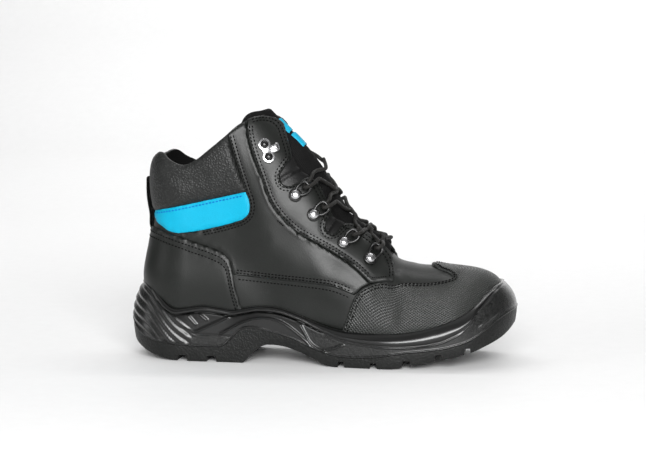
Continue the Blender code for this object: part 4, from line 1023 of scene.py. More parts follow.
@dataclass
class Sheet:
    """A skin of the last with an outline of its own on the chart.

    Attributes:
        outline: Corners on the chart, in order.
        thickness: How far its outside stands off the last.
        pitch: Size of its squares.
        edge: Radius of its rounded edge.
        sunk: How far its edge lies under the last's surface.
        centre: Middle line of the chart that its outline is given on.
        padding: Extra thickness at chart places.
        grooves: Stitch rows on the chart that press into it.
        borders: Lines of the outline that are real edges; all of it where none is given.
        bead: How far the leather swells along its edge.
        folds: Extra ridges on the chart, each a line with a height and a width.
        creases: How far the leather's creases show, as a share.
        bead_width: Width of the swelling along its edge.
        groove: Depth and width of the groove that a stitch row presses.
    """

    outline: Array
    thickness: float
    pitch: float = 1.4
    edge: float = 1.6
    sunk: float = 0.3
    centre: Centre = Centre.HEEL
    padding: Callable[[Array], Array] | None = None
    grooves: list[Array] = field(default_factory=list)
    borders: list[Array] = field(default_factory=list)
    bead: float = 0.25
    folds: list[tuple[Array, float, float]] = field(default_factory=list)
    creases: float = 1.0
    bead_width: float = 0.9
    groove: tuple = (0.3, 0.9)

    def chart(self, flat: Array) -> tuple[Array, Array]:
        """Distances from the heel and heights of the sheet's own places."""
        if self.centre is Centre.HEEL:
            return flat[:, 0], flat[:, 1]
        side = np.where(flat[:, 0] < 0, -1.0, 1.0)
        return side * (LAST.length - np.abs(flat[:, 0])), flat[:, 1]

    def base(self, flat: Array) -> Array:
        """Points of the last under the sheet's places."""
        return LAST.base(*self.chart(flat))

    def stand(self, flat: Array) -> Array:
        """How far the sheet stands off the last at its places.

        Args:
            flat: Places on the sheet's own chart.

        Returns:
            Distances out from the last.
        """
        points = self.base(flat)
        lines = self.borders or [np.concatenate([self.outline, self.outline[:1]])]
        border = np.concatenate([self.base(dense(line, 0.5)) for line in lines])
        near = distances(points, border)
        full = self.thickness + (self.padding(flat) if self.padding else 0.0)
        full = full + self.bead * np.exp(-(((near - 0.8 * self.edge) / self.bead_width) ** 2))
        stand = (full + self.sunk) * rounded_edge(near, self.edge) - self.sunk
        deep, wide = self.groove
        for row in self.grooves:
            near = distances(points, self.base(dense(row, 0.5)))
            stand = stand - deep * np.exp(-((near / wide) ** 2))
        for line, height, width in self.folds:
            near = distances(points, self.base(dense(line, 0.4)))
            stand = stand + height * np.exp(-((near / width) ** 2))
        return stand + self.creases * creased(points)

    def points(self, flat: Array, lift: float = 0.0) -> Array:
        """Points of the sheet's outside over its places."""
        return LAST.place(*self.chart(flat), self.stand(flat) + lift)

    def mesh(self, flat_only: bool = False) -> Mesh:
        """The sheet as a mesh.

        Args:
            flat_only: Whether it keeps one distance from the last up to its edge.

        Returns:
            The mesh in metres, facing out.
        """
        mesh = bmesh.new()
        corners = [mesh.verts.new((u, 0.0, v)) for u, v in self.outline]
        face = mesh.faces.new(corners)
        if not flat_only:
            for width in (0.35 * self.edge, 0.65 * self.edge):
                inner = [part for part in mesh.faces if len(part.verts) > 4] or [face]
                bmesh.ops.inset_region(mesh, faces=inner, thickness=width, use_even_offset=True)
        for axis, normal in ((0, (1, 0, 0)), (1, (0, 0, 1))):
            low, high = self.outline[:, axis].min(), self.outline[:, axis].max()
            first = math.ceil(low / self.pitch + 0.2) * self.pitch
            for line in np.arange(first, high - 0.2 * self.pitch, self.pitch):
                geometry = [*mesh.verts, *mesh.edges, *mesh.faces]
                bmesh.ops.bisect_plane(
                    mesh, geom=geometry, plane_co=Vector(normal) * line, plane_no=normal, dist=0.02
                )
        flat = np.array([(vert.co.x, vert.co.z) for vert in mesh.verts])
        layer = mesh.loops.layers.uv.new("place")
        for part in mesh.faces:
            for loop in part.loops:
                loop[layer].uv = (loop.vert.co.x * MM, loop.vert.co.z * MM)
        if flat_only:
            places = LAST.place(*self.chart(flat), self.thickness + creased(self.base(flat)))
        else:
            places = self.points(flat)
        for vert, place in zip(mesh.verts, places):
            vert.co = Vector(place) * MM
        bmesh.ops.remove_doubles(mesh, verts=mesh.verts, dist=0.02 * MM)
        bmesh.ops.dissolve_degenerate(mesh, edges=mesh.edges, dist=0.01 * MM)
        return face_out(mesh, foot_middle)


@dataclass
class Stitching:
    """Rows of stitches, gathered into joined meshes.

    Attributes:
        length: Length of a stitch.
        pitch: Distance between stitches.
        radius: Radius of the thread.
        lift: How far the thread's middle lies over the leather.
    """

    length: float = 2.2
    pitch: float = 2.85
    radius: float = 0.55
    lift: float = 0.22

    def row(self, sheet: Sheet, line: Array) -> Mesh:
        """A row of stitches on a sheet.

        Args:
            sheet: The panel that is sewn.
            line: The row on the sheet's chart.

        Returns:
            The stitches as one mesh in metres.
        """
        fine = dense(line, 0.3)
        base = sheet.base(fine)
        along = lengths(base)
        starts = np.arange(self.pitch / 2, along[-1] - self.pitch / 2, self.pitch)
        ends = [
            np.stack([np.interp(starts + shift, along, axis) for axis in fine.T], 1)
            for shift in (-self.length / 2, self.length / 2)
        ]
        back, front = (sheet.points(end, self.lift) for end in ends)
        outward = LAST.outward(*sheet.chart(ends[0]))
        mesh = bmesh.new()
        for first, last, normal in zip(back, front, outward):
            ahead = Vector(last - first).normalized()
            across = Vector(normal).cross(ahead).normalized()
            turn = Matrix((ahead, across, ahead.cross(across))).transposed().to_4x4()
            sizes = Matrix.Diagonal((self.length / 2 * MM, self.radius * MM, 0.8 * self.radius * MM, 1.0))
            place = Matrix.Translation(Vector((first + last) / 2) * MM) @ turn @ sizes
            bmesh.ops.create_uvsphere(mesh, u_segments=6, v_segments=5, radius=1.0, matrix=place)
        return mesh

    def sew(self, name: str, sheet: Sheet, slot: str, finish: Finish | None = None) -> None:
        """Sews a sheet's rows as one piece."""
        rows = [self.row(sheet, line) for line in sheet.grooves]
        add_piece(f"stitches_{name}", joined(rows), finish or Finishes.THREAD)


def both_sides(line: Array) -> Array:
    """A chart line from the middle outwards, carried over to the other side in front of it."""
    other = line[:0:-1] * (-1.0, 1.0)
    return np.concatenate([other, line])


def toe_chart(line: Array) -> Array:
    """Chart places counted from the toe's tip instead of the heel's back."""
    return np.stack([LAST.length - line[:, 0], line[:, 1]], 1)


def from_back(points: Array) -> Array:
    """Chart line of side-view points, starting on the heel's back line."""
    chart = LAST.from_side(points)
    first = max(int(np.argmax(chart[:, 0] > 0.5)) - 1, 0)
    chart = chart[first:]
    chart[0, 0] = 0.0
    return chart


def kept_off_ridge(chart: Array, x: Array, least: float) -> Array:
    """Chart line kept a least distance off the middle line."""
    limit = LAST.from_plan(np.stack([x, np.full(len(x), least)], 1))
    return np.stack([chart[:, 0], np.minimum(chart[:, 1], limit[:, 1])], 1)


@dataclass
class Sole:
    """Midsole, outsole and insole.

    Attributes:
        heel_reach: From the heel axis to the back of the sole.
        toe_reach: From the toe axis to its tip.
        roll: Height of the rounded roll under the rim, at places along the foot.
        rib_fall: How far the heel's ribs fall on their way round from the back.
        rib_top: Height at which the foremost rib starts at the back.
        rib_pitch: Distance between the ribs.
        rib_relief: Height of the ribs.
        ridges: Raised lines on the wall in side view.
        bars: Short raised bars on the wall.
        furrow: Line of the groove over the heel's stippled band.
        groove_depth: Depth of the tread.
        groove_slant: How far a groove's sides draw in.
        deck_share: Share of the half width at which the two layers meet on a level deck.
        grooves: Grooves across the tread, each from one x to the next.
        channels: Channels along the tread: start, end, y and width.
        ridge_form, toe_ridge: Height and width of the raised lines, and their height at the toe.
        bar_form, furrow_form: Height and width of the bars, depth and width of the furrow.
        lip_form: Height and width of the lip over the outsole.
        tuck: How far the midsole reaches into the upper.
        heel_steps, run_steps, toe_steps: Stations round the heel, along a side and round the toe.
        wall_steps: Rows up the midsole's wall.
    """

    heel_reach: float = 50.4
    toe_reach: float = 60.4
    roll: tuple = (
        (-154, -113, -90, -60, -11, 6, 24, 47, 70, 92, 99, 106, 114, 119, 123, 125, 127, 130, 154),
        (4.6, 4.4, 4.4, 4.2, 4.0, 5.0, 6.9, 9.1, 10.6, 12.6, 13.0, 12.2, 11.0, 9.3, 7.5, 5.5, 3.0, 1.4, 1.2),
    )
    rib_fall: tuple = ((0, 14, 27, 35, 43, 52, 60), (0.0, 6.0, 14.0, 24.5, 35.0, 43.0, 48.0))
    rib_top: float = 71.0
    rib_pitch: float = 7.0
    rib_relief: float = 0.9
    ridges: tuple = (
        ((-96.8, 23.4), (-87.0, 27.8), (-76.6, 32.6), (-66.2, 37.6), (-60.0, 39.6)),
        ((-76.1, 22.5), (-66.2, 28.4), (-57.9, 32.7), (-49.6, 35.5), (-39.3, 36.6), (-31.0, 35.4),
         (-22.8, 32.0), (-14.5, 26.3), (-6.3, 19.6), (-2.7, 15.6)),
        ((-11.9, 33.4), (-7.3, 25.6), (-2.2, 17.7), (2.6, 14.4), (7.7, 12.6)),
        ((7.7, 12.6), (15.0, 14.6), (23.0, 17.6)),
        ((129.1, 33.2), (136.0, 38.3), (140.9, 41.9)),
        ((130.3, 45.6), (135.7, 49.7), (140.6, 52.2)),
    )
    bars: tuple = (((-103.0, 37.0), (-95.8, 29.6)), ((-93.6, 38.4), (-86.9, 33.4)))
    furrow: tuple = ((-105.7, 26.8), (-98.4, 22.6), (-82.8, 21.6), (-67.3, 20.4))
    groove_depth: float = 4.5
    groove_slant: float = 1.5
    deck_share: float = 0.8
    grooves: tuple = (
        (-112.3, -102.4), (-88.3, -78.5), (18.0, 25.0), (43.4, 50.7), (68.4, 77.0), (93.1, 100.8),
        (115.7, 122.8),
    )
    channels: tuple = ((-128, -64, 0.0, 7.0), (12, 128, -14.0, 5.0), (12, 128, 18.0, 5.0))
    ridge_form: tuple = (1.6, 0.75)
    toe_ridge: float = 0.6
    bar_form: tuple = (1.8, 0.85)
    furrow_form: tuple = (0.8, 0.8)
    lip_form: tuple = (0.7, 0.6)
    tuck: float = 1.2
    heel_steps: int = 40
    run_steps: int = 210
    toe_steps: int = 44
    wall_steps: int = 56

    def __post_init__(self) -> None:
        """Sets the stations round the foot, from the heel's back along the outer side and back."""
        heel = np.linspace(0, 1, self.heel_steps, endpoint=False)
        run = 1 + np.linspace(0, 1, self.run_steps, endpoint=False)
        one = np.concatenate([heel, run, np.linspace(2, 3, self.toe_steps)])
        self.stations = np.concatenate([one, one[-2::-1]])
        self.sides = np.where(np.arange(len(self.stations)) < len(one), -1.0, 1.0)
        self.heel_turn = unit(self.stations) * math.pi / 2
        self.toe_turn = unit(3 - self.stations) * math.pi / 2
        self.run_x = LAST.heel_axis + unit(self.stations - 1) * LAST.run
        at_heel, at_toe = self.stations < 1, self.stations > 2
        aside = column(SOLE_PLAN, "half", self.run_x)
        heel = Last.rounded(self.heel_reach, aside, self.heel_turn, LAST.heel_round)
        toe = Last.rounded(self.toe_reach, aside, self.toe_turn, LAST.toe_round)
        self.reach = np.where(at_heel, heel, np.where(at_toe, toe, aside))
        self.out_x = np.where(at_heel, -np.cos(self.heel_turn), np.where(at_toe, np.cos(self.toe_turn), 0.0))
        out_y = np.where(at_heel, np.sin(self.heel_turn), np.where(at_toe, np.sin(self.toe_turn), 1.0))
        self.out_y = self.sides * out_y
        self.edge_x = self.run_x + self.reach * self.out_x
        self.tread = column(TREAD_LINE, "z", self.edge_x)
        self.parting = column(PARTING_LINE, "z", self.edge_x)
        self.rim = column(RIM_LINE, "z", self.edge_x)
        arc = np.where(at_heel, self.stations * LAST.heel_arc, LAST.heel_arc + self.run_x - LAST.heel_axis)
        arc = np.where(at_toe, LAST.length - (3 - self.stations) * LAST.toe_arc, arc)
        self.chart_u = self.sides * arc

    def row(self, share: float, z: Array | float, inset: Array | float = 0.0) -> Array:
        """A row round the sole at a share of its half width."""
        reach = (self.reach - inset) * share
        x = self.run_x + reach * self.out_x
        return np.stack([x, column(SOLE_PLAN, "centre", x) + reach * self.out_y, z + 0.0 * x], -1)

    def ring(self, share: float, height: Callable[[Array], Array]) -> Array:
        """A row inside the sole at a height that follows X."""
        flat = self.row(share, 0.0)
        flat[:, 2] = height(flat[:, 0])
        return flat

    def lean(self, z: Array) -> Array:
        """How far the side leans in at a height."""
        height = (z - self.tread) / (self.rim - self.tread)
        weights = {"heel": np.cos(self.heel_turn) ** 2, "toe": np.cos(self.toe_turn) ** 2}
        weights["side"] = 1 - weights["heel"] - weights["toe"]
        return sum(
            weights[key] * lean.inset * unit((height - lean.start) / (1 - lean.start)) ** lean.power
            for key, lean in LEANS.items()
        )

    @staticmethod
    def deck(x: Array) -> Array:
        """Level at which the outsole and midsole meet inside the sole."""
        under = section("feather", x) - 4.0
        return np.maximum(np.minimum(column(PARTING_LINE, "z", x), under), column(TREAD_LINE, "z", x) + 2.5)

    def relief(self, z: Array) -> tuple[Array, Array]:
        """Relief of the midsole's wall.

        Args:
            z: Heights, as rows of stations.

        Returns:
            How far each place stands out, and how far it is stippled.
        """
        x = np.broadcast_to(self.edge_x, z.shape)
        under, high = self.rim - z, smooth(*self.roll, x)
        across = unit(under / high)
        bead = -1.0 + 1.9 * np.sqrt(np.sin(np.pi * unit(across * 0.94 + 0.06)))
        wide = smooth(
            (0.0, 0.1, 0.28, 0.45, 0.6, 0.76, 0.9, 1.0), (-1.2, -0.3, 0.7, 1.5, 1.8, 1.2, 0.1, -0.2), across
        )
        ahead = unit((x + 5) / 30) * unit((129 - x) / 6)
        seam = (2.0 * ahead - 1.0) * np.exp(-(((under - high) / 0.65) ** 2))
        relief = np.where(under < high, bead * (1 - ahead) + wide * ahead, 0.0) + seam
        wall = unit((under - high - 0.8) / 1.2)

        round_heel = np.abs(self.chart_u)
        level = z + smooth(*self.rib_fall, round_heel)
        behind = unit((self.rib_top + 2.2 - level) / 1.6) * unit((60 - round_heel) / 6)
        low_end = unit((z - self.parting - 0.5) / 2.5)
        ribs = np.abs(np.cos(np.pi * (level - self.rib_top) / self.rib_pitch)) ** 1.5 - 0.45
        relief += wall * behind * low_end * 1.5 * self.rib_relief * ribs

        ahead = wall * (1 - behind)
        for line in self.ridges:
            tall, broad = self.ridge_form
            tall = tall if line[0][0] < LAST.toe_axis else self.toe_ridge
            relief += ahead * tall * np.exp(-((line_distance(x, z, flow(line)) / broad) ** 2))
        tall, broad = self.bar_form
        for line in self.bars:
            relief += ahead * tall * np.exp(-((line_distance(x, z, line) / broad) ** 4))
        deep, broad = self.furrow_form
        furrow = line_distance(x, z, flow(self.furrow))
        relief -= wall * deep * np.exp(-((furrow / broad) ** 2))
        tall, broad = self.lip_form
        relief += tall * np.exp(-(((z - self.parting - broad) / broad) ** 2))

        under_furrow = (x > -112) & (x < -68) & (z < np.interp(x, *np.array(self.furrow).T) - 0.6)
        forefoot = x > np.interp(z, (12.0, 16.0, 20.0, 26.0, 34.0), (8.0, 2.0, -2.0, -6.0, -11.0))
        stipple = np.where(under_furrow | forefoot, ahead, 0.0)
        return relief, np.maximum(stipple, 0.35 * wall * behind)

    def under_form(self, z: Array, out: float) -> Array:
        """A row on the last at a height, out from it."""
        feather = section("feather", self.run_x)
        top = np.minimum(section("ridge", self.run_x), LAST.top)
        share = unit((z - feather) / (top - feather))
        return LAST.place(self.chart_u, LAST.chart_height(share), out)

    def spine(self, z: Array) -> Array:
        """A row on the middle line."""
        return np.stack([self.run_x, section("centre", self.run_x), z], -1)

    def build_midsole(self) -> None:
        """The midsole, closed under the foot."""
        rows = [self.ring(0.0, self.deck), self.ring(self.deck_share, self.deck)]
        shares = np.linspace(0, 1, self.wall_steps)[:, None]
        heights = self.parting + (self.rim - self.parting) * shares
        relief, stipple = self.relief(heights)
        rows += [self.row(1.0, z, self.lean(z) - out) for z, out in zip(heights, relief)]
        inner = self.under_form(self.rim, -self.tuck)
        rows.append(rows[-1] * 0.75 + inner * 0.25 + np.array([0, 0, 0.35]))
        rows.append(inner)
        feather = section("feather", self.run_x)
        rows.append(self.under_form(feather + 0.0 * self.rim, -self.tuck))
        rows.append(self.spine(feather - 0.4))
        texture = np.zeros((len(rows), len(self.stations), 2))
        texture[2 : 2 + len(stipple), :, 0] = stipple
        mesh = mapped_grid(np.stack(rows), texture)
        add_piece("midsole_wall", mesh, Finishes.MIDSOLE, ["midsole"], 80.0)

    def build_outsole(self) -> None:
        """The outsole with its tread cut in."""

        def tread(x: Array) -> Array:
            """Height of the tread's line."""
            return column(TREAD_LINE, "z", x)

        rows = [self.ring(share, tread) for share in (0.0, 0.3, 0.6, 0.8, 0.93)]
        for share in np.linspace(0, 1, 9):
            z = self.tread + (self.parting - GAP - self.tread) * share
            rows.append(self.row(1.0, z, self.lean(z) + 1.2 * (1 - share) ** 2))
        rows += [self.ring(share, lambda x: self.deck(x) - GAP) for share in (self.deck_share, 0.0)]
        mesh = mapped_grid(np.stack(rows))
        outsole = add_piece("outsole_tread", mesh, Finishes.RUBBER, ["outsole"], 35.0)
        for number, (start, end) in enumerate(self.grooves):
            roof = float(tread((start + end) / 2)) + self.groove_depth
            corners = [
                (start, -5), (end, -5), (end - self.groove_slant, roof), (start + self.groove_slant, roof),
            ]
            self.carve(outsole, f"groove_{number}", corners, -FAR, FAR)
        for number, (start, end, y, width) in enumerate(self.channels):
            roof = [(x, float(tread(x)) + self.groove_depth) for x in np.linspace(end, start, 24)]
            corners = [(start, -5), (end, -5), *roof]
            self.carve(outsole, f"channel_{number}", corners, y - width / 2, y + width / 2)

    @staticmethod
    def carve(target: bpy.types.Object, name: str, corners: list, low: float, high: float) -> None:
        """Cuts a side-view outline out of a piece, between two values of Y.

        Args:
            target: The piece, changed in place.
            name: Name of the cut while it is made.
            corners: Pairs of x and z.
            low, high: Ends of the cut in Y.
        """
        work = bmesh.new()
        face = work.faces.new([work.verts.new((x * MM, low * MM, z * MM)) for x, z in corners])
        grown = bmesh.ops.extrude_face_region(work, geom=[face])
        moved_on = [part for part in grown["geom"] if isinstance(part, bmesh.types.BMVert)]
        bmesh.ops.translate(work, verts=moved_on, vec=(0, (high - low) * MM, 0))
        bmesh.ops.recalc_face_normals(work, faces=work.faces)
        cutter = placed(name, work)
        step = target.modifiers.new(name, "BOOLEAN")
        step.operation, step.solver, step.object = "DIFFERENCE", "EXACT", cutter
        bpy.context.view_layer.update()
        graph = bpy.context.evaluated_depsgraph_get()
        carved = bpy.data.meshes.new_from_object(target.evaluated_get(graph))
        target.modifiers.clear()
        target.data = carved
        bpy.data.objects.remove(cutter)

    def build_insole(self) -> None:
        """The footbed, a slab with a rounded edge."""
        feather = section("feather", self.run_x)
        edge = LAST.base(self.chart_u, 0.0 * self.chart_u)
        edge[:, 0] -= self.out_x * (WALL + 0.9)
        edge[:, 1] -= self.out_y * (WALL + 0.9)
        middle = self.spine(feather)

        def row(share: float, rise: float) -> Array:
            """A row at a share of the half width, above the feather edge."""
            flat = middle + (edge - middle) * share
            flat[:, 2] = section("feather", flat[:, 0]) + rise
            return flat

        rows = [row(0, 0), row(1, 0), row(1, 3.4), row(0.975, 4.4), row(0.8, 4.5), row(0.4, 4.5), row(0, 4.5)]
        mesh = mapped_grid(np.stack(rows))
        add_piece("footbed", mesh, Finishes.LINING, ["insole"])

    def build(self) -> None:
        """Builds the three layers."""
        self.build_outsole()
        self.build_midsole()
        self.build_insole()


@dataclass
class Upper:
    """The upper's wall with its lining, and the panels sewn over it.

    Attributes:
        throat_half: Least half width of the throat.
        cap: Thickness of the toe cap.
        counter: Thickness of the heel counter.
        eyestay: Thickness of the eyestays.
        quarter: Thickness of the quarters.
        band: Thickness of the side bands.
        cuff: Thickness of the cuff along its edges.
        cuff_swell: How far the cuff's padding rises.
        rows: Insets of the double rows of stitches.
        stitching: The stitches.
    """

    throat_half: float = 12.4
    cap: float = 1.8
    counter: float = 1.6
    eyestay: float = 1.8
    quarter: float = 1.0
    band: float = 1.2
    cuff: float = 1.3
    cuff_swell: float = 2.4
    rows: tuple = (1.9, 4.0)
    stitching: Stitching = field(default_factory=Stitching)

    def build_wall(self) -> None:
        """The wall, with the lining on its inside and the row under each quarter."""
        collar = from_back(flow(COLLAR_EDGE))
        throat_line = flow(THROAT_EDGE)[1:]
        throat = kept_off_ridge(LAST.from_side(throat_line), throat_line[:, 0], self.throat_half)
        front = throat[-1, 0]
        corners = np.array([(front, LAST.tall), (LAST.length, LAST.tall), (LAST.length, 0.0)])
        line = np.concatenate([collar, throat, corners])
        sheet = Sheet(both_sides(line), 0.0, pitch=2.2)
        wall = add_piece("upper_wall", sheet.mesh(flat_only=True), Finishes.LEATHER, ["upper"])
        wall.data.materials.append(Finishes.LINING.material())
        grow = wall.modifiers.new("wall", "SOLIDIFY")
        grow.thickness, grow.offset = WALL * MM, -1.0
        grow.material_offset = 1
        under = LAST.from_side(moved(flow(QUARTER_UNDER), -3.2)[2:-1])
        seam = Sheet(both_sides(line), 0.0, edge=0.1, bead=0.0, sunk=0.0)
        seam.grooves = [under, under * (-1.0, 1.0)]
        self.stitching.sew("vamp", seam, "leather")

    def build_cap(self) -> None:
        """The toe cap with its wings."""
        top = np.concatenate([LAST.from_side(CAP_TOP), LAST.from_plan(CAP_PEAK)])
        window = flow(top)[::-1]
        wing = LAST.from_side(flow(CAP_BACK)[::-1][1:])
        line = toe_chart(np.concatenate([window, wing]))
        line[-1, 1] = 0.0
        outline = np.concatenate([line[::-1] * (-1.0, 1.0), line])
        sheet = Sheet(outline, self.cap + GAP, centre=Centre.TOE)
        sheet.borders = [line, line * (-1.0, 1.0)]
        sheet.bead, sheet.creases = 0.4, 0.0
        sewn = [moved(line, -inset)[3:-6] for inset in self.rows]
        sheet.grooves = [row * (side.value, 1.0) for row in sewn for side in Side]
        add_piece("cap", sheet.mesh(), Finishes.CAP, ["toe_cap"])
        self.stitching.sew("cap", sheet, "cap")

    def build_counter(self) -> None:
        """The heel counter, round the heel."""
        line = from_back(flow(COUNTER_EDGE))
        low = np.array([(line[-1, 0] + 2.0, 2.0)])
        sheet = Sheet(both_sides(np.concatenate([line, low])), self.counter + GAP)
        sheet.bead = 0.4
        sheet.grooves = [both_sides(moved(line, -inset)[:-3]) for inset in self.rows]
        add_piece("heel_counter", sheet.mesh(), Finishes.LEATHER, ["counter"])
        self.stitching.sew("counter", sheet, "leather")

    def build_cuff(self) -> None:
        """The padded cuff round the back of the ankle."""
        seam = from_back(np.concatenate([flow(BAND_SEAM)[:-1], flow(CUFF_SEAM)[::-1]]))
        collar_line = flow(COLLAR_EDGE)
        collar = from_back(collar_line[collar_line[:, 0] < -71.5])
        low, high = from_back(flow(BAND_SEAM)), collar

        def padding(flat: Array) -> Array:
            """Swelling between the seam and the collar's edge."""
            under = np.interp(np.abs(flat[:, 0]), low[:, 0], low[:, 1])
            over = np.interp(np.abs(flat[:, 0]), high[:, 0], high[:, 1])
            share = unit((flat[:, 1] - under) / (over - under))
            return self.cuff_swell * 4 * share * (1 - share)

        outline = np.concatenate([both_sides(seam), both_sides(collar)[::-1]])
        sheet = Sheet(outline, self.cuff + GAP, edge=3.2, padding=padding, bead=0.0)
        piece = add_piece("padded_cuff", sheet.mesh(), Finishes.COLLAR, ["cuff"])

    def build_band(self, side: Side) -> None:
        """The coloured band of one side, with its own row of stitches.

        Args:
            side: Side of the foot.
        """
        turn = (side.value, 1.0)
        seam = flow(BAND_SEAM)
        seam = seam[seam[:, 0] > BAND_BACK[-1].x]
        rim = np.concatenate([seam[:-1], flow(BAND_FRONT)[:-1], flow(BAND_UNDER)[:-1], flow(BAND_BACK)])
        band = Sheet(LAST.from_side(rim) * turn, self.band + GAP, edge=1.4, bead=0.0)
        band.grooves = [LAST.from_side(moved(seam, -2.4)[1:-1]) * turn]
        add_piece(f"side_band_{side.word}", band.mesh(), Finishes.BAND, [f"band_{side.word}"])
        self.stitching.sew(f"band_{side.word}", band, "band", Finishes.BAND_THREAD)

    def build_quarter(self, side: Side) -> None:
        """The middle panel of one side.

        Args:
            side: Side of the foot.
        """
        turn = (side.value, 1.0)
        back = np.concatenate([flow(CUFF_SEAM)[:-1], flow(BAND_FRONT)[:-1], flow(BAND_UNDER)])
        counter = flow(COUNTER_EDGE)
        counter = counter[(counter[:, 0] > -112) & (counter[:, 0] < -67.2)]
        wing = flow(CAP_BACK)
        wing = wing[wing[:, 1] > 57.5]
        under = np.concatenate([counter, flow(QUARTER_UNDER), wing])
        edge = np.concatenate([back, under, flow(EYESTAY_UNDER)[::-1]])
        quarter = Sheet(LAST.from_side(edge) * turn, self.quarter + GAP, edge=1.4, bead=0.45)
        seam = flow(QUARTER_UNDER)
        quarter.grooves = [LAST.from_side(moved(back, inset)[1:-9]) * turn for inset in self.rows]
        quarter.grooves += [LAST.from_side(moved(seam, inset)[1:-1]) * turn for inset in self.rows]
        name = f"quarter_{side.word}"
        add_piece(f"side_{name}", quarter.mesh(), Finishes.LEATHER, [name])
        self.stitching.sew(name, quarter, "leather")

    def build_eyestay(self, side: Side) -> None:
        """The lace facing of one side, with its rows, bar tacks and the gussets in its notches.

        Args:
            side: Side of the foot.
        """
        turn = (side.value, 1.0)
        lines = [EYESTAY_TOP, FIRST_NOTCH, MIDDLE_EDGE, SECOND_NOTCH]
        throat = np.concatenate([*(flow(line)[:-1] for line in lines), flow(LOWER_EDGE)])
        under = flow(EYESTAY_UNDER)
        foot = flow(STAY_FOOT)[1:-1]
        edge = np.concatenate([throat, foot, under[:0:-1]])
        stay = Sheet(LAST.from_side(edge) * turn, self.eyestay + GAP, 1.5, bead=0.4)
        stay.grooves = [LAST.from_side(moved(throat, -inset)[1:-1]) * turn for inset in self.rows]
        stay.grooves += [LAST.from_side(moved(under, inset)[2:-2]) * turn for inset in self.rows]
        name = f"eyestay_{side.word}"
        add_piece(f"lace_stay_{side.word}", stay.mesh(), Finishes.LEATHER, [name])
        self.stitching.sew(name, stay, "leather")
        tacks = Sheet(stay.outline, stay.thickness)
        tacks.grooves = [LAST.from_side(dense(np.array(line), 1.0)) * turn for line in TACKS]
        Stitching(length=1.5, pitch=1.7, radius=0.5).sew(f"tacks_{side.word}", tacks, "leather")
        for number, (outline, fold) in enumerate(GUSSETS, 1):
            patch = Sheet(LAST.from_side(flow([*outline, outline[0]])[:-1]) * turn, 0.5, 0.9, bead=0.0)
            patch.folds = [(LAST.from_side(fold) * turn, 1.3, 0.9)]
            add_piece(f"gusset_{side.word}_{number}", patch.mesh(), Finishes.GUSSET)

    def build(self) -> None:
        """Builds the wall and every panel."""
        self.build_wall()
        self.build_cap()
        self.build_counter()
        self.build_cuff()
        for side in Side:
            self.build_band(side)
            self.build_quarter(side)
            self.build_eyestay(side)


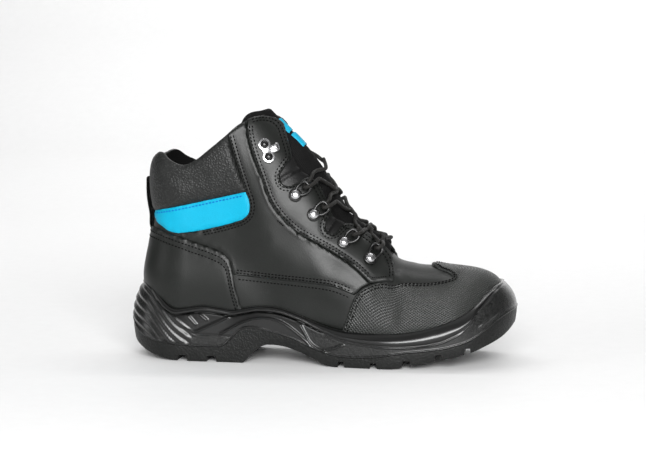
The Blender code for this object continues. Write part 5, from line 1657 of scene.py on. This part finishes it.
@dataclass
class Tongue:
    """The padded tongue, its label and the webbing loop at the heel.

    Attributes:
        clear: From the upper's inside to the tongue's edges.
        thick: Thickness of the padding.
        top: Height of its top edge.
        end: Place of its lower end.
        label_half: Half width of the label.
        label_thick: Thickness of the label.
        lace_lines: Places along the ridge at which the laces cross it.
        press: How far a lace presses into the padding.
        half: Half width of the tongue.
        press_width, edge: Width of a lace's dent, and radius of the pad's edge.
        columns, rows: Points across and along the pad.
        label_spans: Start and end of the label's blocks along the ridge.
        loop_half, loop_thick: Half width and thickness of the heel loop.
        loop_stand: Heights of the loop, and how far it stands off the last there.
    """

    clear: float = 1.6
    thick: float = 5.0
    top: float = 199.4
    end: float = 64.0
    label_half: float = 6.4
    label_thick: float = 0.8
    lace_lines: tuple = (9.6, 21.2, 36.0, 46.5)
    press: float = 1.2
    half: float = 29.5
    press_width: float = 2.6
    edge: float = 3.0
    columns: int = 61
    rows: int = 131
    label_spans: tuple = ((-34.5, -25.6), (-24.4, -15.5))
    loop_half: float = 9.0
    loop_thick: float = 1.5
    loop_stand: tuple = ((101.0, 106.0, 113.0, 120.0, 132.0, 144.5), (-0.6, 1.4, 2.6, 4.2, 5.4, 5.2))

    def stand(self, x: Array, off: Array) -> Array:
        """How far the tongue's outside stands off the last.

        Args:
            x: Places along the foot.
            off: Distances off the middle.

        Returns:
            Distances out from the last, negative inside it.
        """
        share = unit(1 - (off / column(TONGUE, "half", x)) ** 2)
        rise = column(TONGUE, "rise", x)
        for line in self.lace_lines:
            rise = rise - self.press * np.exp(-(((x - line) / self.press_width) ** 2))
        return np.maximum(rise, 0.0) * share - WALL - self.clear

    def build_pad(self) -> None:
        """The tongue itself, a closed pad whose two faces meet round its edge."""
        across = np.linspace(-1, 1, self.columns)
        off = across * self.half
        crown = self.top - 12 * np.abs(across) ** 6
        reach = solve(lambda x: LAST.saddle_out(x, off, -self.edge)[:, 2], crown, -90.0, 0.0)
        share = np.linspace(0, 1, self.rows)[:, None] ** 1.2
        x = reach[None, :] * (1 - share) + self.end * share
        offs = np.broadcast_to(off, x.shape)
        slant = np.sqrt(1 + LAST.ridge_slope(x) ** 2)
        near = np.minimum((x - reach[None, :]) * slant, (self.end - x) * slant)
        near = np.minimum(near, self.half - np.abs(offs))
        outside = self.stand(x, offs)
        half = self.thick / 2 * rounded_edge(near, self.edge)
        middle = outside - self.thick / 2
        outer = LAST.saddle_out(x, offs, middle + half)
        inner = LAST.saddle_out(x, offs, middle - half)
        rows = np.concatenate([inner[::-1], outer])
        flat = np.stack([x, offs], -1)
        mesh = mapped_grid(rows, np.concatenate([flat[::-1], flat]) * MM)
        pad = add_piece("padded_tongue", mesh, Finishes.TONGUE, ["tongue"])

    def build_label(self) -> None:
        """The label, two plain blocks one under the other."""
        blocks = []
        for start, end in self.label_spans:
            wide = np.linspace(-self.label_half, self.label_half, 33)
            x, off = np.meshgrid(np.linspace(start, end, 25), wide)
            depth = np.minimum(np.minimum(x - start, end - x) * 1.5, self.label_half - np.abs(off))
            lift = (self.label_thick + GAP + 0.2) * rounded_edge(depth, 0.9) - 0.2
            points = LAST.saddle_out(x, off, self.stand(x, off) + lift)
            part = mapped_grid(points, np.stack([x, off], -1) * MM)
            blocks.append(face_out(part, lambda place: place - Vector((1, 0, 1))))
        add_piece("label_blocks", joined(blocks), Finishes.BAND, ["tongue_label"])

    def build_loop(self) -> None:
        """The webbing loop up the back of the heel, its lower end tucked into the seam."""
        half, thick = self.loop_half, self.loop_thick
        low, high = self.loop_stand[0][0], self.loop_stand[0][-1]
        y, z = np.meshgrid(np.linspace(-half, half, 19), np.linspace(low, high, 45))
        back = LAST.heel_axis - column(BACK_LINE, "x", z, key="z")
        aside = LAST.half_width(LAST.heel_axis, z)
        reach = back * (1 - np.abs(y / aside) ** LAST.heel_round) ** (1 / LAST.heel_round)
        stand = smooth(*self.loop_stand, z)
        near = np.minimum(np.minimum(half - np.abs(y), z - low), high - z)
        rim = thick / 2 * rounded_edge(near, 0.8)
        middle = LAST.heel_axis - reach - stand - thick / 2
        outer, inner = np.stack([middle - rim, y, z], -1), np.stack([middle + rim, y, z], -1)
        rows = np.concatenate([inner[::-1], outer])
        mesh = mapped_grid(rows, rows[..., 1:] * MM)
        add_piece("heel_loop", mesh, Finishes.WEBBING, ["pull_loop"])

    def build(self) -> None:
        """Builds the tongue, the label and the loop."""
        self.build_pad()
        self.build_label()
        self.build_loop()


def through(points: Array, step: float = 0.8) -> Array:
    """Even points of the smooth curve through points."""
    return flow(flow(points, 0.25), step)


def tube(points: Array, radius: float, sides: int = 14, closed: bool = False) -> Mesh:
    """A round cord or wire along points, with closed ends.

    Args:
        points: Places along it in millimetres.
        radius: Its radius.
        sides: How many sides it has.
        closed: Whether its ends meet.

    Returns:
        The mesh in metres.
    """
    ahead = np.gradient(points, axis=0)
    if closed:
        ahead[0] = ahead[-1] = points[1] - points[-2]
    ahead /= np.linalg.norm(ahead, axis=1)[:, None]
    side = np.cross(ahead[0], (0.3, 0.2, 1.0))
    rings, along = [], 0.0
    texture = []
    turns = np.linspace(0, 2 * math.pi, sides + 1)
    for index, (point, forward) in enumerate(zip(points, ahead)):
        side = side - forward * np.dot(side, forward)
        side /= np.linalg.norm(side)
        up = np.cross(forward, side)
        if index:
            along += np.linalg.norm(point - points[index - 1])
        rings.append(point + radius * (np.cos(turns)[:, None] * side + np.sin(turns)[:, None] * up))
        texture.append(np.stack([turns * radius, 0 * turns + along], 1))
    if not closed:
        caps = [np.broadcast_to(point, rings[0].shape) for point in (points[0], points[-1])]
        rings = [caps[0], *rings, caps[1]]
        texture = [texture[0], *texture, texture[-1]]
    return mapped_grid(np.stack(rings), np.stack(texture) * MM)


def turned(profile: Sequence[Sequence[float]], sides: int = 28) -> Mesh:
    """A mesh spun about Z from radii and heights, in millimetres.

    Args:
        profile: Pairs of radius and height.
        sides: How many sides it has.

    Returns:
        The mesh in metres.
    """
    mesh = bmesh.new()
    verts = [mesh.verts.new((radius * MM, 0.0, height * MM)) for radius, height in profile]
    edges = [mesh.edges.new(pair) for pair in zip(verts, verts[1:])]
    bmesh.ops.spin(
        mesh, geom=[*verts, *edges], axis=(0, 0, 1), cent=(0, 0, 0), angle=math.tau, steps=sides,
        use_merge=True,
    )
    bmesh.ops.remove_doubles(mesh, verts=mesh.verts, dist=0.01 * MM)
    bmesh.ops.recalc_face_normals(mesh, faces=mesh.faces)
    return mesh


def joined(parts: Sequence[Mesh], place: Matrix | None = None) -> Mesh:
    """One mesh out of several, moved to a place. The several are freed.

    Args:
        parts: The meshes.
        place: Frame that they are moved to.

    Returns:
        The new mesh.
    """
    whole = bmesh.new()
    for part in parts:
        data = bpy.data.meshes.new("part")
        part.to_mesh(data)
        part.free()
        whole.from_mesh(data)
        bpy.data.meshes.remove(data)
    if place is not None:
        bmesh.ops.transform(whole, matrix=place, verts=whole.verts)
    return whole


@dataclass
class Hardware:
    """The lace rings and hooks.

    Attributes:
        seats: Places of the rings on the eyestay in side view, from the top.
        hook_seat: Place of the hook.
        out: From the last to the leather under the hardware.
        wire: Radius of the ring's wire.
        half: Half width of the ring's loop.
        reach: From the rivet to the loop's end.
        rise: Height of the loop's end above the leather.
        hook_turn: Turn of the hook on the leather.
        washer, dome, stud: Radii and heights of the turned pieces.
        tab: Bent line of the hook's tab in its own side view.
        disc, apart, waist: Radius of the plate's ends, their distance off its middle, and its half waist.
        plate_thick: Thickness of the plate.
    """

    seats: tuple = (Point(-16.5, 132.6), Point(-2.4, 117.4), Point(21.3, 95.5), Point(41.5, 83.0))
    hook_seat: Point = Point(-40.0, 166.5)
    hook_turn: float = math.radians(-18)
    out: float = 2.5
    wire: float = 1.1
    half: float = 4.4
    reach: float = 12.4
    rise: float = 3.4
    washer: tuple = ((0, 0), (5.0, 0), (5.25, 0.25), (5.25, 0.9), (4.9, 1.25), (3.4, 1.35), (0, 1.35))
    dome: tuple = ((0, 0.8), (3.9, 0.8), (4.05, 1.5), (3.7, 2.5), (2.8, 3.3), (1.5, 3.7), (0, 3.8))
    stud: tuple = ((0, 0.2), (3.2, 0.2), (3.3, 1.2), (3.0, 2.1), (2.1, 2.9), (1.0, 3.3), (0, 3.4))
    tab: tuple = ((1.0, 0.6), (6.6, 0.6), (8.4, 1.2), (9.5, 2.7), (9.4, 4.3), (8.2, 5.5), (5.2, 6.0))
    disc: float = 4.9
    apart: float = 5.2
    waist: float = 3.3
    plate_thick: float = 1.2

    def frame(self, side: Side, number: int) -> Matrix:
        """Frame of a ring, counted from 1 at the top, or of the hook, which is 0.

        Args:
            side: Side of the foot.
            number: Number of the ring.

        Returns:
            The frame in metres.
        """
        if number:
            seat = self.seats[number - 1]
            return LAST.seat(seat.x, seat.z, side, self.out)
        turn = Matrix.Rotation(-side.value * self.hook_turn, 4, "Z")
        return LAST.seat(self.hook_seat.x, self.hook_seat.z, side, self.out) @ turn

    def loop(self) -> Mesh:
        """The ring's wire loop."""
        half = [
            (2.2, 0.0, 1.0), (3.0, 0.55 * self.half, 1.0), (7.5, self.half, 0.55 * self.rise),
            (11.2, 0.86 * self.half, 0.9 * self.rise), (self.reach, 0.5 * self.half, self.rise),
            (self.reach + 0.1, 0.0, self.rise),
        ]
        other = [(x, -y, z) for x, y, z in half[-2::-1]]
        return tube(through(np.array([*half, *other]), 0.6), self.wire, 12, closed=True)

    def plate(self) -> Mesh:
        """The hook's waisted plate."""
        mesh = bmesh.new()
        bmesh.ops.create_circle(mesh, cap_ends=True, segments=90, radius=1.0)
        disc, apart, waist = self.disc, self.apart, self.waist
        for vert in mesh.verts:
            turn = math.atan2(vert.co.y, vert.co.x)
            y = (apart + disc) * math.sin(turn)
            wide = math.sqrt(max(disc**2 - (abs(y) - apart) ** 2, 0.0))
            wide = max(wide, waist) if abs(y) < apart else wide
            vert.co = Vector((math.copysign(wide, math.cos(turn)), y, 0.0)) * MM
        grown = bmesh.ops.extrude_face_region(mesh, geom=list(mesh.faces))
        top = [part for part in grown["geom"] if isinstance(part, bmesh.types.BMVert)]
        bmesh.ops.translate(mesh, verts=top, vec=(0, 0, self.plate_thick * MM))
        bmesh.ops.recalc_face_normals(mesh, faces=mesh.faces)
        rim = [edge for edge in mesh.edges if edge.calc_face_angle(0.0) > 1.0]
        bmesh.ops.bevel(
            mesh, geom=rim, offset=0.35 * MM, segments=2, profile=0.5, affect="EDGES", material=-1
        )
        return mesh

    def tongue(self) -> Mesh:
        """The hook's tab, bent up and back."""
        line = through(np.array([(x, 0.0, z) for x, z in self.tab]), 0.5)
        ahead = np.gradient(line, axis=0)
        ahead /= np.linalg.norm(ahead, axis=1)[:, None]
        normal = np.cross(ahead, (0.0, 1.0, 0.0))
        turns = np.linspace(0, math.tau, 25)
        share = np.linspace(0, 1, len(line))
        width = 3.0 * np.sqrt(np.clip((1.02 - share) / 0.25, 0.05, 1))
        ring = np.stack([np.sign(np.cos(turns)) * np.abs(np.cos(turns)) ** 0.5, 0.55 * np.sin(turns)], 1)
        rows = [
            point + ring[:, :1] * wide * np.array([0.0, 1.0, 0.0]) + ring[:, 1:] * lift
            for point, wide, lift in zip(line, width, normal)
        ]
        rows = [np.broadcast_to(line[0], rows[0].shape), *rows, np.broadcast_to(line[-1], rows[0].shape)]
        return mapped_grid(np.stack(rows))

    def build(self) -> None:
        """Builds the rings and hooks of both sides."""
        for side in Side:
            for number in range(1, len(self.seats) + 1):
                place = self.frame(side, number)
                name = f"{side.word}_{number}"
                wire = joined([turned(self.washer), self.loop()], place)
                add_piece(f"ring_loop_{name}", wire, Finishes.BLACK_METAL, [f"d_ring_{name}"])
                add_piece(f"ring_dome_{name}", joined([turned(self.dome)], place), Finishes.CHROME)
            place = self.frame(side, 0)
            bent = joined([self.plate(), self.tongue()], place)
            add_piece(f"hook_plate_{side.word}", bent, Finishes.CHROME, [f"hook_{side.word}"])
            studs = []
            for y in (-self.apart, self.apart):
                stud = turned(self.stud)
                bmesh.ops.translate(stud, verts=stud.verts, vec=(0, y * MM, 0))
                studs.append(stud)
            add_piece(f"hook_studs_{side.word}", joined(studs, place), Finishes.BLACK_METAL)


@dataclass
class Laces:
    """The lace: two runs from the middle of the bottom bar up through the rings.

    Attributes:
        hardware: The rings and hooks that it runs through.
        tongue: The tongue that it lies on.
        radius: Radius of the round cord.
        clear: Distance kept from the tongue.
        lap: How much higher one run crosses the other.
        peaks: Where each crossing meets the ridge, from the top, and how far it stands off the tongue.
    """

    hardware: Hardware
    tongue: Tongue
    radius: float = 1.5
    clear: float = 0.1
    lap: float = 1.1
    peaks: tuple = ((-4.3, 2.6), (9.6, 0.0), (21.2, 0.0), (36.0, 0.0), (46.5, 0.0))

    def at_ring(self, side: Side, number: int, local: Sequence[Sequence[float]]) -> list[Array]:
        """Places given in a ring's own frame, with Y up the throat."""
        frame = self.hardware.frame(side, number)
        up = -side.value
        return [np.array(frame @ (Vector((x, up * y, z)) * MM)) / MM for x, y, z in local]

    def ring_pass(self, side: Side, number: int) -> list[Array]:
        """Places through a ring: over its end, down into the loop and out under it."""
        reach = self.hardware.reach
        return self.at_ring(side, number, (
            (reach + 3.2, -2.0, 4.0), (reach - 0.1, -1.8, 6.1), (reach - 3.6, -0.2, 4.2),
            (reach - 1.0, 1.7, 0.8), (reach + 3.2, 2.0, 2.0),
        ))

    def over(self, start: Array, end: Array, number: int, lap: float) -> list[Array]:
        """Places from one ring over the ridge to another along the boot's front, both ends left out.

        Args:
            start: Last place at the first ring.
            end: First place at the second.
            number: Number of the crossing, from the top.
            lap: How much higher it crosses.

        Returns:
            The places, with the ridge's in the middle.
        """
        x, stand = self.peaks[number]
        least = self.radius + self.clear
        lift = float(self.tongue.stand(np.array([x]), np.array([0.0]))[0]) + stand + least + lap
        top = LAST.saddle_out(x + 0.5 * lap, 0.0, lift)[0]

        def flank(point: Array) -> list[Array]:
            """Places between a ring and the ridge."""
            off = point[1] - float(section("centre", point[0]))
            under, above = LAST.saddle_out(point[0], off, 0.0)[0], LAST.saddle_out(point[0], off, 1.0)[0]
            out = float(np.dot(point - under, above - under))
            away = point - (under + (above - under) * out)
            places = []
            for share in (0.2, 0.4, 0.6, 0.8):
                at, aside = point[0] + (top[0] - point[0]) * share, off * (1 - share)
                lie = float(self.tongue.stand(np.array([at]), np.array([aside]))[0]) + least
                lie += (stand + lap) * share**2
                leave = lie + max(out - lie, 0.0) * (1 - share) ** 2
                places.append(LAST.saddle_out(at, aside, leave)[0] + away * (1 - share) ** 2)
            return places

        return [*flank(start), top, *flank(end)[::-1]]

    def run(self, stops: Sequence[tuple[Side, int]], lap: float) -> list[Array]:
        """A run's places from the bar's middle through its rings.

        Args:
            stops: The rings in order.
            lap: How much higher it crosses the other run.

        Returns:
            The places in order.
        """
        passes = [self.ring_pass(*stop) for stop in stops]
        bar = self.over(passes[0][0], self.ring_pass(Side.OUTER, 4)[0], 4, 0.0)
        places = [bar[4], *bar[3::-1], *passes[0]]
        for index, following in enumerate(passes[1:]):
            places += self.over(places[-1], following[0], 3 - index, lap)
            places += following
        return places

    def build(self) -> None:
        """Builds both runs as one piece."""
        outer, inner = Side.OUTER, Side.INNER
        first = self.run([(outer, 4), (inner, 3), (outer, 2)], 0.0)
        last_ring = self.ring_pass(inner, 1)
        first = np.array([*first, *self.over(first[-1], last_ring[0], 1, 0.0), *last_ring[:3]])
        second = self.run([(inner, 4), (outer, 3), (inner, 2), (outer, 1)], self.lap)
        hook = self.at_ring(inner, 0, (
            (15.0, -4.0, 3.6), (10.5, -5.6, 3.4), (6.9, -3.4, 3.3), (6.7, 1.0, 3.3),
        ))
        second = np.array([*second, *self.over(second[-1], hook[0], 0, 0.0), *hook])
        cords = [tube(through(path), self.radius) for path in (first, second)]
        nodes = ["lace_bar", "lace_cross_1", "lace_cross_2", "lace_cross_3", "lace_top"]
        add_piece("lace", joined(cords), Finishes.LACE, nodes)


@dataclass
class Studio:
    """Floor, lights and camera.

    Attributes:
        azimuth: Turn of the camera towards the toe, in degrees.
        elevation: Its height above the level, in degrees.
        distance: From the target, in metres.
        target: Point it looks at, in metres.
        lens: Focal length in millimetres.
        sensor, shift: Width of the sensor in millimetres, and the picture's shift as shares of it.
        floor, floor_half: Y and height along the floor, and its half width, in metres.
        lights: Name, place, aim, size in metres and power of each light.
        ambient: Strength of the light from all sides.
    """

    azimuth: float = 8.5
    elevation: float = 6.0
    distance: float = 1.3
    target: tuple = (0.0, 0.0, 0.095)
    lens: float = 90.2
    sensor: float = 36.0
    shift: tuple = (0.0005, 0.0017)
    floor: tuple = (
        (-9.0, 0.0), (1.2, 0.0), (1.7, 0.07), (2.1, 0.3), (2.35, 0.7), (2.45, 1.2), (2.45, 3.0),
    )
    floor_half: float = 9.0
    lights: tuple = (
        ("key", (0.36, -1.70, 0.72), (0.0, 0.0, 0.1), (1.15, 0.75), 46.0),
        ("above", (0.0, 0.1, 1.75), (0.0, 0.0, 0.0), (3.0, 2.0), 8.0),
        ("heel", (-1.3, -0.75, 0.6), (0.0, 0.0, 0.1), (0.5, 0.7), 3.0),
        ("backdrop", (0.0, 0.7, 1.9), (0.0, 2.45, 0.5), (2.6, 0.6), 41.0),
    )
    ambient: float = 0.13

    def build_floor(self) -> None:
        """A pale floor that curves up behind the boot."""
        mesh = bmesh.new()
        verts = [mesh.verts.new((-self.floor_half, y, z - GAP * MM)) for y, z in self.floor]
        edges = [mesh.edges.new(pair) for pair in zip(verts, verts[1:])]
        grown = bmesh.ops.extrude_edge_only(mesh, edges=edges)
        side = [part for part in grown["geom"] if isinstance(part, bmesh.types.BMVert)]
        bmesh.ops.translate(mesh, verts=side, vec=(2 * self.floor_half, 0, 0))
        bmesh.ops.recalc_face_normals(mesh, faces=mesh.faces)
        if mesh.faces[:][0].normal.z < 0:
            bmesh.ops.reverse_faces(mesh, faces=mesh.faces)
        floor = placed("floor", mesh)
        floor.data.materials.append(Finishes.FLOOR.material())
        floor.data.shade_smooth()

    @staticmethod
    def add_light(name: str, place: tuple, aim: tuple, size: tuple, power: float) -> None:
        """Adds a soft rectangular light.

        Args:
            name: Its name.
            place, aim: Its place and the point it shines at.
            size: Its width and height.
            power: Its power in watts.
        """
        data = bpy.data.lights.new(name, "AREA")
        data.shape, data.size, data.size_y, data.energy = "RECTANGLE", *size, power
        lamp = bpy.data.objects.new(name, data)
        bpy.context.scene.collection.objects.link(lamp)
        lamp.location = place
        lamp.rotation_euler = (Vector(aim) - Vector(place)).to_track_quat("-Z", "Y").to_euler()

    def build_camera(self) -> None:
        """The camera, as the photograph was taken."""
        turn, rise = math.radians(self.azimuth), math.radians(self.elevation)
        back = Vector((math.sin(turn) * math.cos(rise), -math.cos(turn) * math.cos(rise), math.sin(rise)))
        data = bpy.data.cameras.new("camera")
        data.lens, data.sensor_width = self.lens, self.sensor
        data.shift_x, data.shift_y = self.shift
        camera = bpy.data.objects.new("camera", data)
        bpy.context.scene.collection.objects.link(camera)
        camera.location = Vector(self.target) + back * self.distance
        camera.rotation_euler = (-back).to_track_quat("-Z", "Y").to_euler()
        bpy.context.scene.camera = camera

    def build(self) -> None:
        """Builds the floor, the lights and the camera."""
        self.build_floor()
        for light in self.lights:
            self.add_light(*light)
        world = bpy.data.worlds.new("studio")
        world.use_nodes = True
        world.node_tree.nodes["Background"].inputs["Color"].default_value = (1.0, 1.0, 1.0, 1.0)
        world.node_tree.nodes["Background"].inputs["Strength"].default_value = self.ambient
        bpy.context.scene.world = world
        bpy.context.scene.view_settings.view_transform = "Standard"
        self.build_camera()


def main() -> None:
    """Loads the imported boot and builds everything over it."""
    logging.basicConfig(level=logging.INFO, format="%(name)s %(message)s")
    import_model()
    Studio().build()
    hardware, tongue = Hardware(), Tongue()
    for assembly in (Sole(), Upper(), tongue, hardware, Laces(hardware, tongue)):
        LOG.info("building %s", type(assembly).__name__)
        assembly.build()


if __name__ == "__main__":
    main()
